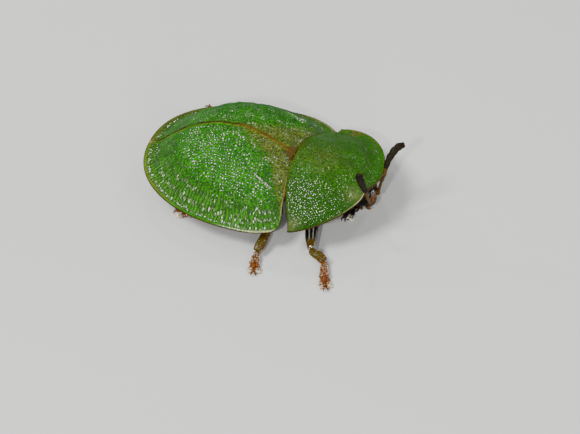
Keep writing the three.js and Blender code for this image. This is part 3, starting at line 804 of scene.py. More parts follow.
class BeetleColourSettings(bpy.types.PropertyGroup):
    wing_green: colour_of("Wing case green", "Main green of the wing cases", "1e6202")
    wing_light: colour_of("Wing case light green", "Lighter green patches of the wing cases", "2e7c04")
    shield_green: colour_of("Pronotum green", "Main green of the pronotum", "2a6204")
    shield_olive: colour_of("Pronotum olive", "Olive patches of the pronotum", "2e5204")
    stain: colour_of("Stain", "Rust-brown stain behind the base of the wing cases", "785a2c")
    # Painted glint colour, for the pit centres, the dashes along the oblique ridge and the glints along the
    # rims.
    painted_glint: colour_of("Pit centres", "Pale centres of the pits", "f4fad8")
    # Pale patches of the shell, also used for the painted highlights along the rims and the painted sheen on
    # the margin.
    pale_patch_and_highlight: colour_of("Pale patches", "Pale patches of the shell", "a8a06c")
    seam_dark: colour_of("Seam edge", "Both sides of the raised seam", "2c2008")
    seam: colour_of("Seam", "Crest of the raised seam", "84561a")
    rim: colour_of("Rim", "Brown rim of the shell", "3a2c10")
    # Painted highlight colour of the lines along the thighs.
    painted_highlight: colour_of("Thigh lines", "Pale lines along the thighs", "ffffee")
    black: colour_of("Black shell", "Underside, head and thighs", "080604")
    brown: colour_of("Brown", "Mouth, knees and patches of the shins and stems", "50320e")
    scute: colour_of("Scutellum", "Scutellum", "4c3c10")
    stem: colour_of("Stem", "Stems of the feelers", "443810")
    knee: colour_of("Brown-black", "Brownish parts of black shell", "1c1208")
    shin: colour_of("Shin", "Olive-brown of the shins", "3e3c06")
    foot: colour_of("Foot", "Red-brown of the feet", "7e440e")
    club: colour_of("Club", "Dark club of the feelers", "100c04")
    club_tip: colour_of("Club bloom", "Paler parts of the club", "1e1a0a")
    bristle: colour_of("Bristle", "Pale bristles", "ece6d0")
    eye: colour_of("Eye", "Eyes", "040303")


class BeetleStageSettings(bpy.types.PropertyGroup):
    floor: colour_of("Floor", "Colour of the floor", "cfcfcc")
    sky: FloatProperty(name="Sky", description="Brightness of the light from all round", default=0.25,
                       min=0, max=5)
    key_power: light_power("Key light", "Power of the main light", 0.14)
    fill_power: light_power("Fill light", "Power of the fill light", 0.03)
    glint_power: light_power("Glint light", "Power of the small light that makes the pits glint", 0.07)
    rear_power: light_power("Rear light", "Power of each small light behind the beetle", 0.015)


# The wing cases.

def wing_base(y, side):
    """Where the base of a wing case lies: bowed forward, and rounded off at its outer corner."""
    bow, corner = (0.2, 0.0) if side > 0 else (0.0, 0.24)
    return BASE_X + BASE_SLOPE * y + bow * smoothstep(y, 0.9, 2.1) - corner * smoothstep(y, 1.98, 2.5) ** 1.5


def wing_case_grid(columns, rows, side):
    """Points of the left wing case, from the tip to the base and from the suture to the rim."""
    s = np.linspace(0.0008, 1, columns) ** TIP_CROWDING

    def along(y, share):
        return REAR_TIP_X + (wing_base(y, side) - REAR_TIP_X) * share

    half = settled(columns, lambda width: wing_half_width(along(width, s)))
    y = half[:, None] * np.linspace(0, 1, rows)[None]
    x = along(y, s[:, None])
    return np.stack([x, y, wing_height(x, y)], -1)


def rim_length(x, y):
    """How far round the outline a point lies, in millimetres, seen from the middle of the wing cases."""
    angle = np.linspace(0, math.pi, 721)
    out = reach(PEAK_X, angle, wing_gauge)
    border = np.stack([out * np.cos(angle), out * np.sin(angle)], -1)
    run = np.concatenate([[0], np.cumsum(np.linalg.norm(np.diff(border, axis=0), axis=1))])
    return np.interp(np.arctan2(np.abs(y), x - PEAK_X), angle, run)


def wing_survey(points, side, settings):
    """What the relief and the paint of a wing case are worked out from, at each of its points.

    band is the flat margin, where the pits are drawn out towards the rim; hollow are the pits and dots the
    small ones between them, both 0 to 1 deep; streak is the way to a short oblique ridge."""
    x, y = points[..., 0], points[..., 1]
    seed = LEFT_SEED if side > 0 else RIGHT_SEED
    gauge, to_base = wing_gauge(x, y), wing_base(y, side) - x
    inside, rim_run = 1 - gauge, rim_length(x, y)
    plan = np.stack([x, y * side], -1)
    band = smoothstep(gauge + 0.03 * waves(np.stack([x, y], -1), 0.4, seed + 6), 0.66, 0.86)
    u, v = arc_lengths(points, 0), arc_lengths(points, 1)
    spacing = settings.pit_spacing / MM
    hollow = pits(u, v, (spacing, spacing * 1.05), (0.032, 0.044), 0.24, seed)
    inward = inside * HALF_WIDTH * 0.36
    drawn_out = pits(rim_run, inward, (spacing * 0.72, spacing * 0.8), (0.022, 0.031), 0.28, seed + 1)
    hollow = hollow * (1 - band) + drawn_out * band
    dots = pits(u + 7, v + 7, (0.047, 0.047), (0.014, 0.02), 0.36, seed + 7) * (hollow < 0.05)
    quiet = smoothstep(y, 0.05, 0.11) * smoothstep(to_base, 0.03, 0.09) * smoothstep(inside, 0.012, 0.04)
    return SimpleNamespace(
        x=x, y=y, plan=plan, seed=seed, gauge=gauge, inside=inside, to_base=to_base, rim_run=rim_run,
        band=band,
        hollow=hollow * quiet,
        dots=dots * quiet,
        streak=np.hypot(np.clip(np.abs(x - 0.62) - 0.24, 0, None), y - 1.38 - 0.2 * (x - 0.62)),
        wrinkle=np.sin(rim_run * 2 * math.pi / WRINKLE_LENGTH + 2.2 * waves(plan, 0.35, seed + 4)),
    )


def wing_relief(w, settings):
    """How far each point of a wing case stands out, in millimetres."""
    relief = 0.014 * waves(w.plan, 0.75, w.seed + 2) + 0.006 * waves(w.plan, 0.3, w.seed + 3)
    relief *= smoothstep(w.inside, 0.0, 0.2)
    ridge = bell(w.y, 0.055) * smoothstep(w.x, -3.35, -2.6) * 0.9 + 0.1 * bell(w.y, 0.04)
    relief += settings.ridge_height / MM * ridge
    for at_x, at_y, squeeze, width, height in WING_BUMPS:
        relief += height * bell(np.hypot((w.x - at_x) * squeeze, w.y - at_y), width)
    relief += 0.06 * bell(w.streak, 0.045)
    relief += 0.02 * bell(w.to_base, 0.035) + 0.012 * bell(w.inside, 0.016)
    relief -= 0.01 * bell(w.gauge - 0.78, 0.07)
    relief += 0.004 * w.wrinkle * smoothstep(w.gauge, 0.68, 0.9) * smoothstep(w.inside, 0.01, 0.05)
    return relief - settings.pit_depth / MM * (w.hollow + 0.3 * w.dots)


def wing_paint(w, side):
    """Painted values of a wing case, all 0 to 1 save for the stain."""
    x, y, inside, plan, seed = w.x, w.y, w.inside, w.plan, w.seed
    # Painted glints: pale centres of the pits and of the small dots, fewer in patches and on the far wing
    # case.
    painted_glint = smoothstep(w.hollow + 0.04 * w.band, 0.56, 0.84) + 0.4 * smoothstep(w.dots, 0.5, 0.85)
    painted_glint *= 0.15 + 0.85 * smoothstep(waves(plan, 0.5, seed + 8), -0.8, 0.6)
    painted_glint *= 0.8 if side > 0 else 1.0
    # Painted glints in dashes along the oblique ridge.
    dashes = smoothstep(waves(plan, 0.05, seed + 13), 0.1, 0.7)
    painted_glint = np.maximum(painted_glint, 0.85 * bell(w.streak, 0.03) * dashes)

    # Darker mottling at random over the disc, and painted shade in the furrows of the flat margin.
    shade = 0.6 * smoothstep(waves(plan, 0.11, seed + 10), -0.3, 0.8) * (1 - w.band)
    furrows = smoothstep(-w.wrinkle + 0.5 * waves(plan, 0.12, seed + 12), -0.5, 0.7)
    shade += 0.9 * w.band * furrows * smoothstep(inside, 0.01, 0.05)

    border = STAIN_FAR if side > 0 else STAIN_NEAR
    reach_out = np.interp(x, *border) + 0.09 * waves(plan, 0.25, seed + 5)
    stain = smoothstep(reach_out - y, -0.45, 0.4) * smoothstep(x, -1.1, 0.2)
    stain += 0.55 * bell(y, 0.1) * smoothstep(-x, -0.2, 0.8)
    stain += 0.6 * bell(inside, 0.08) * smoothstep(-x, 1.2, 2.6)

    rim = bell(inside, 0.005) * (1 - 0.8 * smoothstep(x, 0.2, 0.8))
    # Pale: a painted highlight along the rim towards the front, the wing case's own pale tip at the suture,
    # and a faint painted sheen over the flat margin.
    pale = bell(inside, 0.022) * smoothstep(x, 0.1, 0.7) + bell(np.hypot(x - REAR_TIP_X, y), 0.07)
    pale += 0.05 * w.band
    if side > 0:
        rim += 0.5 * bell(inside, 0.045)
    else:
        # Painted glints in a beaded row along the near rim.
        rim_glints = 0.65 + 0.45 * np.sin(w.rim_run * 2 * math.pi / RIM_GLINT_SPACING + 2 * waves(plan, 0.3, seed + 9))
        painted_glint = np.maximum(painted_glint, rim_glints * bell(inside - 0.008, 0.01) * smoothstep(x, -0.6, 0.1))
        pale += bell(w.to_base - 0.012, 0.02) * smoothstep(y, 0.1, 0.3) * (1 - smoothstep(y, 1.7, 2.1))

    seam = bell(y, 0.022 + 0.012 * smoothstep(-x, 0.2, 1.4)) * smoothstep(x, -3.45, -3.1)
    seam *= 0.5 + 0.5 * smoothstep(x, -1.0, -0.2)
    seam += bell(w.to_base, 0.02) * (0.4 + 0.8 * (1 - smoothstep(y, 1.2, 1.9)))
    gloss = np.maximum(np.maximum(w.hollow, 0.12 * w.dots), 0.48 * bell(w.streak, 0.025))
    paint = {"pit": gloss, "painted_glint": painted_glint, "stain": stain, "ridge": seam, "rim": rim, "pale": pale,
             "shade": shade}
    return {key: value if key == "stain" else np.clip(value, 0, 1) for key, value in paint.items()}


def wing_case(side, settings):
    """Vertices, faces and painted values of one wing case, side 1 for the left and -1 for the right."""
    columns = mesh_columns(settings)
    points = wing_case_grid(columns, int(columns * 0.55), side)
    w = wing_survey(points, side, settings)
    points = points + grid_normals(points) * wing_relief(w, settings)[..., None]
    points[..., 1] = np.maximum(points[..., 1] + HALF_SEAM, HALF_SEAM)
    vertices, faces = shell(points, underside(wing_height, wing_gauge, settings, 0.02), settings.edge / MM)
    paint = widened(wing_paint(w, side), len(vertices) - w.x.size)
    if side < 0:
        vertices = vertices * [1, -1, 1]
        faces = [block[:, ::-1] for block in faces]
    return vertices, faces, paint


class BEETLE_OT_wing_cases(bpy.types.Operator):
    """Builds the two wing cases"""
    bl_idname = "beetle.wing_cases"
    bl_label = "Wing Cases"

    def execute(self, context):
        scene = context.scene
        tones = scene.beetle_colours
        finish = shell_finish("wing_case_shell", tones, tones.wing_green, tones.wing_light, 0.0)
        for side, name in SIDES:
            vertices, faces, paint = wing_case(side, scene.beetle_shell)
            new_piece(f"wing_case_{name}", vertices, faces, finish, f"elytron_{name}", "wing_case", paint)
        return {"FINISHED"}


# The pronotum and the scutellum.

def shield_grid(across):
    """Points of the pronotum in its own level frame, from the hind edge to the front and right to left."""
    s = 1 - (1 - np.linspace(0, 0.9992, across // 2)) ** TIP_CROWDING

    def along(y, share):
        return shield_hind(y) + (SHIELD_LENGTH - shield_hind(y)) * share

    half = settled(across // 2, lambda width: shield_half_width(along(width, s)))
    y = half[:, None] * np.linspace(-1, 1, across)[None]
    x = along(y, s[:, None])
    return np.stack([x, y, shield_height(x, y)], -1)


def shield_paint(x, y, hollow, inside, to_hind):
    """Painted values of the pronotum, 0 to 1."""
    plan = np.stack([x, y], -1)
    near_eye = bell(y + 1.05, 0.4) * smoothstep(x, 0.8, 1.2)
    rim = 0.8 * bell(inside, 0.006) * (1 - near_eye) + bell(to_hind, 0.012)
    # Darker mottling at random, and painted shade over the near side.
    shade = 0.7 * smoothstep(waves(plan, 0.11, 45), -0.3, 0.8) + 0.55 * smoothstep(-y, 0.3, 1.4)
    stain = 0.5 * bell(np.hypot(x - 0.6, y + 0.05), 0.7) + 0.3 * bell(to_hind, 0.2)
    stain += 1.2 * bell(np.hypot(x - 0.62, y - 2.05), 0.22)
    stain += 0.5 * bell(inside, 0.04) * smoothstep(y, 1.0, 1.6)
    pale = 0.3 * bell(np.hypot(x - 1.72, y + 0.81), 0.24) + 0.3 * bell(np.hypot(x - 0.12, y + 2.06), 0.2)
    # Painted highlight along the front rim by the eye.
    pale += bell(inside, 0.012) * bell(y + 1.2, 0.5)
    # Painted glints in the pits, more of them on the near side, and along the rim by the eye.
    painted_glint = smoothstep(hollow, 0.6, 0.9) * (0.15 + 0.85 * smoothstep(waves(plan, 0.6, 44), -0.8, 0.6))
    painted_glint *= 0.4 + 0.6 * smoothstep(-y, -0.3, 0.9)
    painted_glint = np.maximum(painted_glint, 0.7 * near_eye * bell(inside, 0.008))
    paint = {"pit": hollow, "painted_glint": painted_glint, "stain": stain, "ridge": 0.45 * bell(to_hind, 0.02), "rim": rim,
             "pale": pale, "shade": shade}
    return {key: np.clip(value, 0, 1) for key, value in paint.items()}


class BEETLE_OT_pronotum(bpy.types.Operator):
    """Builds the pronotum, the shield over the head"""
    bl_idname = "beetle.pronotum"
    bl_label = "Pronotum"

    def execute(self, context):
        settings, tones = context.scene.beetle_shell, context.scene.beetle_colours
        points = shield_grid(mesh_columns(settings))
        x, y = points[..., 0], points[..., 1]
        gauge = shield_gauge(x, y)
        inside, to_hind = 1 - gauge, x - shield_hind(y)
        spacing = settings.shield_pit_spacing / MM
        u, v = arc_lengths(points, 0), arc_lengths(points, 1)
        hollow = pits(u, v, (spacing, spacing), (0.024, 0.035), 0.3, 41)
        hollow *= smoothstep(to_hind, 0.03, 0.08) * smoothstep(inside, 0.015, 0.05)
        plan = points[..., :2]
        relief = 0.012 * waves(plan, 0.8, 42) + 0.004 * waves(plan, 0.25, 43)
        relief *= smoothstep(inside, 0.0, 0.2)
        relief -= 0.05 * bell(np.hypot(x - 0.35, np.abs(y) - 1.25), 0.3)
        relief += 0.015 * bell(to_hind, 0.04) + 0.008 * bell(inside, 0.015)
        relief -= settings.shield_pit_depth / MM * hollow
        points = points + grid_normals(points) * relief[..., None]
        over_eye = bell(y + 0.6, 0.3) * smoothstep(gauge, 0.84, 1.0)
        points += over_eye[..., None] * EYE_RECESS
        under = underside(shield_height, shield_gauge, settings, 0.01)
        vertices, faces = shell(points, under, settings.edge / MM, 0.006)
        paint = widened(shield_paint(x, y, hollow, inside, to_hind), len(vertices) - x.size)
        finish = shell_finish("pronotum_shell", tones, tones.shield_green, tones.shield_olive, 7.0)
        new_piece("pronotum_shield", tipped(vertices), faces, finish, "pronotum", "pronotum", paint)
        return {"FINISHED"}


class BEETLE_OT_scutellum(bpy.types.Operator):
    """Builds the scutellum, the small triangle between the bases of the wing cases"""
    bl_idname = "beetle.scutellum"
    bl_label = "Scutellum"

    def execute(self, context):
        tones = context.scene.beetle_colours
        s = np.linspace(0, 0.97, 60)[:, None]
        t = np.linspace(-1, 1, 61)[None]
        x = SCUTELLUM_FRONT_X - SCUTELLUM_LENGTH * s + 0 * t
        y = SCUTELLUM_HALF_WIDTH * (1 - s ** 1.3) * t
        lift = 0.03 - 0.012 * np.abs(t) ** 3 + 0.004 * waves(np.stack([x, y], -1), 0.09, 61)
        points = np.stack([x, y, wing_height(x, y) + lift], -1)
        vertices, faces = shell(points, lambda at_x, at_y: wing_height(at_x, at_y) - 0.06, 0.04)
        finish = plain_finish("scutellum_shell", tones.scute, tones.stem, 0.35, 0.07, 0.02, 0.01)
        new_piece("scutellum_plate", vertices, faces, finish, "scutellum", "scutellum")
        return {"FINISHED"}


# The trunk: black plates under the wing cases and the pronotum.

def belly(y):
    return KEEL_Z + (BELLY_Z - KEEL_Z) * smoothstep(np.abs(y), 0.5, 0.92)


def trunk_body(centre_x, gauge, top, relief, spokes=240, rings=70):
    """A closed body between a top and the belly, with relief(x, y) cut into the belly."""
    angle = np.arange(spokes) * 2 * math.pi / spokes
    border = reach(centre_x, angle, gauge)
    share = np.linspace(0, 1, rings)[1:, None]
    x = centre_x + border * np.cos(angle) * share
    y = border * np.sin(angle) * share
    low = belly(y) - relief(x, y)
    high = np.maximum(top(x, y), low + 0.05)
    soften = 0.12 * np.clip((share - 0.86) / 0.14, 0, 1) ** 2
    under = np.stack([x, y, low + soften * (high - low)], -1)
    above = np.stack([x, y, high - soften * (high - low)], -1)[::-1]
    loops = np.concatenate([under, above]).reshape(-1, 3)
    ends = [[centre_x, 0, belly(0)], [centre_x, 0, top(np.array(centre_x), np.array(0.0))]]
    return np.concatenate([loops, ends]), capped_rings(2 * (rings - 1), spokes)


def abdomen_gauge(x, y):
    behind = np.clip(-(x + 0.32), 0, None) / 2.5
    inside = (behind ** 2.2 + np.abs(y / ABDOMEN_HALF_WIDTH) ** 2.2) ** (1 / 2.2)
    return np.maximum(inside, 1 + (x + 0.32))


def hind_thorax_gauge(x, y):
    return np.maximum(np.abs(x - THORAX_MIDDLE_X) / 0.68, np.abs(y) / (THORAX_HALF_WIDTH - 0.12 * np.abs(x)))


def front_thorax_gauge(x, y):
    off = x - FRONT_THORAX_X
    return (np.abs(off / np.where(off > 0, 0.66, 0.78)) ** 3.2 + np.abs(y / 1.15) ** 3.2) ** (1 / 3.2)


def abdomen_relief(x, y):
    """Waves, pits and the grooves between the belly plates."""
    grooves = sum(bell(x + 0.06 * y ** 2 + at, 0.025) for at in BELLY_GROOVES)
    dents = pits(x, y, (0.1, 0.1), (0.02, 0.035), 0.35, 72)
    return 0.02 * waves(np.stack([x, y], -1), 0.5, 71) - 0.035 * grooves - 0.012 * dents


def thorax_relief(x, y):
    """Waves, pits, a middle line and an oblique line on each side."""
    line = bell(y, 0.02) * 0.02 + bell(x - 0.42 - 0.1 * np.abs(y), 0.02) * 0.025
    dents = pits(x, y, (0.09, 0.09), (0.02, 0.034), 0.35, 74)
    return 0.015 * waves(np.stack([x, y], -1), 0.4, 73) - line - 0.012 * dents


def under_wings(x, y):
    return np.minimum(wing_height(x, y) - 0.2, 1.1)


def over_thorax(x, y):
    return np.minimum(under_wings(x, y), 0.6)


def under_shield(x, y):
    return np.full(np.shape(x), 0.42)


def knurled(unit):
    return unit * (1 + 0.03 * waves(unit, 0.5, 75)[:, None])


class BEETLE_OT_trunk(bpy.types.Operator):
    """Builds the abdomen, both thorax rings and the coxae"""
    bl_idname = "beetle.trunk"
    bl_label = "Trunk"

    def execute(self, context):
        tones = context.scene.beetle_colours
        finish = plain_finish("underside_shell", tones.black, tones.knee, 0.36, 0.5, 0.03, 0.006)
        for name, centre_x, gauge, top, relief in (
            ("abdomen", -1.3, abdomen_gauge, under_wings, abdomen_relief),
            ("hind_thorax", THORAX_MIDDLE_X, hind_thorax_gauge, over_thorax, thorax_relief),
            ("front_thorax", FRONT_THORAX_X, front_thorax_gauge, under_shield, thorax_relief),
        ):
            vertices, faces = trunk_body(centre_x, gauge, top, relief)
            new_piece(f"{name}_body", vertices, faces, finish, name, "underside")
        for name, leg in LEGS.items():
            vertices, faces = blob((*leg["coxa"], COXA_Z), COXA_RADII, knurled, 40, 24)
            new_piece(f"{name}_coxa_joint", vertices, faces, finish, f"{name}_coxa", "underside")
        return {"FINISHED"}


# The head.

def spread_points(count):
    """Points spread evenly over the unit sphere."""
    k = np.arange(count) + 0.5
    polar = np.arccos(1 - 2 * k / count)
    turn = math.pi * (1 + 5 ** 0.5) * k
    return np.stack([np.sin(polar) * np.cos(turn), np.sin(polar) * np.sin(turn), np.cos(polar)], -1)


def faceted(unit):
    """Raises a small lens over each of a number of spread points."""
    nearest = np.full(len(unit), -1.0)
    for block in np.array_split(spread_points(LENSES), 8):
        nearest = np.maximum(nearest, (unit @ block.T).max(1))
    apart = math.sqrt(4 * math.pi / LENSES)
    off = np.arccos(np.clip(nearest, -1, 1)) / apart
    return unit * (1 + LENS_HEIGHT * (1 - (off / 0.6) ** 2))[:, None]


def head_capsule(unit):
    boxed = unit / (np.abs(unit) ** HEAD_BOXINESS).sum(1, keepdims=True) ** (1 / HEAD_BOXINESS)
    front = np.clip(unit[:, 0], 0, 1)
    groove = bell(np.abs(unit[:, 1]) - 0.28 - 0.25 * (unit[:, 2] - 0.2), 0.05) * smoothstep(front, 0.3, 0.7)
    middle = bell(unit[:, 1], 0.035) * smoothstep(unit[:, 2], 0.0, 0.5)
    dots = pits(unit[:, 1] * 0.44, unit[:, 2] * 0.44, (0.06, 0.06), (0.012, 0.02), 0.35, 81)
    return boxed * (1 - 0.045 * groove - 0.03 * middle - 0.02 * dots)[:, None]


def mouth_parts():
    """The two lips and, below them, the two hooked jaws."""
    parts = [tube(path, radii, up=LIP_UP) for path, radii in LIPS]
    for side, _ in SIDES:
        parts.append(tube(np.array(JAW_PATH) * [1, side, 1], JAW_RADII, 20, 30))
    return joined(parts)


def palp_joints(side):
    """The three joints of a palp."""
    path = np.array(PALP_PATH) * [1, side, 1]
    joints = []
    for start, end, wide in PALP_JOINTS:
        part = spline(path, np.linspace(start, end, 4))
        joints.append(tube(part, [[wide * swell] * 2 for swell in (0.6, 1, 1.05, 0.7)], 20, 24))
    return joined(joints)


class BEETLE_OT_head(bpy.types.Operator):
    """Builds the head capsule, the eyes, the mouthparts and the palps"""
    bl_idname = "beetle.head"
    bl_label = "Head"

    def execute(self, context):
        tones = context.scene.beetle_colours
        head = jointed_finish("head_shell", tones, tones.black, tones.eye, tones.stem, tones.foot, 0.12, 0.1)
        vertices, faces = blob(HEAD_CENTRE, HEAD_RADII, head_capsule, 160, 110)
        face = smoothstep(vertices[:, 0], 3.42, 3.54) * (1 - smoothstep(vertices[:, 2], 0.05, 0.25))
        new_piece("head_capsule", vertices, faces, head, "head", "head", {"joint": face})
        eye = Finish("eye_lens")
        tone = eye.mix(eye.patches(0.05, 0.3, 0.7), tones.eye, scaled(tones.eye, 2.5))
        lens = eye.bump(eye.cells(0.016), 0.0005, 0.2)
        rough = eye.patches(0.03, 0.3, 0.7, to_low=0.12, to_high=0.2)
        eye.finish(tone, rough, lens, Specular_IOR_Level=0.02, Coat_Weight=1.0, Coat_Roughness=0.06,
                   Coat_IOR=1.9)
        for side, name in SIDES:
            centre = (EYE_CENTRE[0], EYE_CENTRE[1] * side, EYE_CENTRE[2])
            vertices, faces = blob(centre, EYE_RADII, faceted, 150, 100)
            new_piece(f"eye_{name}_lens", vertices, faces, eye.material, f"eye_{name}", "eye")
        mouth = plain_finish("mouth_shell", tones.brown, tones.black, 0.3, 0.12)
        new_piece("mouth_plates", *mouth_parts(), mouth, "mouthparts", "mouthparts")
        for side, name in SIDES:
            new_piece(f"palp_{name}_joints", *palp_joints(side), mouth, f"palp_{name}", "mouthparts")
        return {"FINISHED"}


# The feelers: eleven joints, of which the last five make a thick dark club.

def feeler_parts(path, shares):
    """Centre line and radii of each joint of a feeler, which swells a little before its end."""
    for start, end, root, widest, tip in shares:
        part = spline(np.asarray(path), np.linspace(start, end, 5))
        yield part, [[radius] * 2 for radius in (root, (root + widest) / 2, widest, widest, tip)]


def feeler_grain(t, turn):
    return 0.002 * np.sin(9 * turn + 40 * t)


class BEETLE_OT_feelers(bpy.types.Operator):
    """Builds both feelers, joint by joint"""
    bl_idname = "beetle.feelers"
    bl_label = "Feelers"

    def execute(self, context):
        tones = context.scene.beetle_colours
        stem = plain_finish("feeler_stem", tones.stem, tones.brown, 0.38, 0.12)
        club = plain_finish("feeler_club", tones.club, tones.club_tip, 0.6, 0.16, 0.012, 0.004)
        for name, path in FEELERS.items():
            for node, shares, finish, slot in (
                ("scape", FEELER_SCAPE, stem, "antenna"),
                ("stem", FEELER_STEM, stem, "antenna"),
                ("club", FEELER_CLUB, club, "antenna_club"),
            ):
                joints = [tube(part, radii, 24, 30, relief=feeler_grain, cap=FEELER_CAP)
                          for part, radii in feeler_parts(path, shares)]
                new_piece(f"feeler_{name}_{node}", *joined(joints), finish, f"antenna_{name}_{node}", slot)
        return {"FINISHED"}


# The legs.

def level_side(path, share):
    """The sideways direction of a path at a share of its length, level with the floor."""
    path = np.asarray(path, dtype=float)
    ahead = spline(path, np.array([min(share + 0.05, 1)]))[0] - spline(path, np.array([share - 0.05]))[0]
    side = np.cross((0, 0, 1), ahead)
    return side / np.linalg.norm(side)


def sole_lobes(leg):
    """Centre lines of the two lobes of the third foot joint, which lie on the floor."""
    path, claw = np.asarray(leg["tarsus"], dtype=float), np.array([*leg["claw"], 0.0])
    start = spline(path, np.array([0.55]))[0]
    middle = spline(path, np.array([0.86]))[0]
    side = level_side(path, 0.9)
    end = np.array([*(path[-1][:2] + (claw[:2] - path[-1][:2]) * 0.75), 0.0])
    sole = FLOOR_Z + LOBE_HEIGHT
    lobes = []
    for way in (1, -1):
        lobes.append(np.array([
            start + side * 0.025 * way,
            [*(middle + side * 0.065 * way)[:2], sole + 0.035],
            [*(path[-1] + side * 0.08 * way)[:2], sole],
            [*(end + side * 0.085 * way)[:2], sole - 0.01],
        ]))
    return lobes


def foot_joints(leg):
    """The first two foot joints as (path, radii)."""
    path = np.asarray(leg["tarsus"], dtype=float)
    return [(spline(path, np.linspace(start, end, 4)), radii) for start, end, radii in FOOT_JOINTS]


def claw_parts(leg):
    """The slim last joint over the lobes, and two hooked claws."""
    path, claw = np.asarray(leg["tarsus"], dtype=float), np.asarray(leg["claw"])
    side = level_side(path, 0.9)
    root = spline(path, np.array([0.62]))[0] + [0, 0, 0.06]
    tip = np.array([*claw, FLOOR_Z + 0.13])
    ahead = tip - root
    ahead /= np.linalg.norm(ahead)
    parts = [tube([root, root + ahead * 0.2 + [0, 0, 0.03], tip], CLAW_JOINT_RADII, 20, 30)]
    for way in (1, -1):
        hook = [tip + ahead * on + side * out * way + [0, 0, up] for on, out, up in CLAW_HOOK]
        parts.append(tube(hook, CLAW_RADII, 16, 28))
    return parts


def thigh_parts(femur):
    """The thigh and the short joint that ties it to the coxa."""
    hip = [femur[0] + (femur[0] - femur[1]) * 0.25, femur[0], femur[0] + (femur[1] - femur[0]) * 0.2]
    return joined([tube(femur, THIGH_RADII, 40, 60, relief=thigh_swell), tube(hip, HIP_RADII, 24, 24)])


def thigh_paint(vertices, femur):
    """The lighter knee, and two painted highlight lines along the outer face of the thigh."""
    from_knee = vertices - femur[-1]
    knee = 1 - smoothstep(np.linalg.norm(from_knee, axis=1), 0.22, 0.5)
    along = (femur[-1] - femur[1]) / np.linalg.norm(femur[-1] - femur[1])
    outward = np.array([0.3, math.copysign(0.7, femur[-1][1]), 0.7])
    outward -= (outward @ along) * along
    outward /= np.linalg.norm(outward)
    across = np.cross(along, outward)
    aside = from_knee @ across / 0.15
    # Painted highlight lines along the face of the thigh turned up and outwards.
    painted_highlight = 0.8 * bell(aside - 0.5, 0.09) + 0.7 * bell(aside + 0.2, 0.07)
    painted_highlight *= (from_knee @ outward > 0.03) * smoothstep(-(from_knee @ along), 0.25, 0.45)
    painted_highlight *= 0.6 + 0.4 * smoothstep(waves(vertices, 0.12, 61), -0.6, 0.4)
    return {"joint": knee, "painted_highlight": np.clip(painted_highlight, 0, 1)}


def thigh_swell(t, turn):
    return 0.006 * np.sin(3 * turn + 5 * t) + 0.004 * np.sin(11 * turn + 17 * t)


def shin_ridges(t, turn):
    return 0.01 * np.clip(t * 4, 0, 1) * np.cos(6 * turn) - 0.012 * bell(t - 0.06, 0.04)


class BEETLE_OT_legs(bpy.types.Operator):
    """Builds the thighs, shins, feet and claws of all six legs"""
    bl_idname = "beetle.legs"
    bl_label = "Legs"

    def execute(self, context):
        tones = context.scene.beetle_colours
        thigh = jointed_finish("thigh_shell", tones, tones.black, tones.knee, tones.brown, tones.shin,
                               1.0, 0.1, 2.6)
        shin = plain_finish("shin_shell", tones.shin, tones.brown, 0.5, 0.2, Specular_IOR_Level=0.06,
                            Coat_Weight=0.2, Coat_Roughness=0.15)
        foot = plain_finish("foot_shell", tones.foot, tones.knee, 0.5, 0.08, lift=0.006,
                            Specular_IOR_Level=0.06, Coat_Weight=0.9, Coat_Roughness=0.14)
        # Painted shade: a dark finish for the foot that lies under the head.
        shaded_foot = plain_finish("foot_shaded_shell", tones.black, tones.knee, 0.4)
        claw = plain_finish("claw_horn", tones.foot, tones.black, 0.25, 0.06)
        for name, leg in LEGS.items():
            femur = np.asarray(leg["femur"], dtype=float)
            vertices, faces = thigh_parts(femur)
            paint = thigh_paint(vertices, femur)
            new_piece(f"{name}_thigh", vertices, faces, thigh, f"{name}_femur", "femur", paint)
            shin_mesh = tube(leg["tibia"], SHIN_RADII, 48, 60, relief=shin_ridges, cap=0.4)
            new_piece(f"{name}_shin", *shin_mesh, shin, f"{name}_tibia", "tibia")
            parts = [tube(path, radii, 28, 30, cap=0.35) for path, radii in foot_joints(leg)]
            parts += [tube(path, LOBE_RADII, 28, 36, cap=0.8) for path in sole_lobes(leg)]
            sole, horn = (shaded_foot, shaded_foot) if name == SHADED_FOOT else (foot, claw)
            new_piece(f"{name}_foot", *joined(parts), sole, f"{name}_tarsus", "tarsus")
            new_piece(f"{name}_claw_pair", *joined(claw_parts(leg)), horn, f"{name}_claws", "claws")
        return {"FINISHED"}


# Hairs: short bristles, each a bent three-sided spike with its own small patch of the OFBake map.

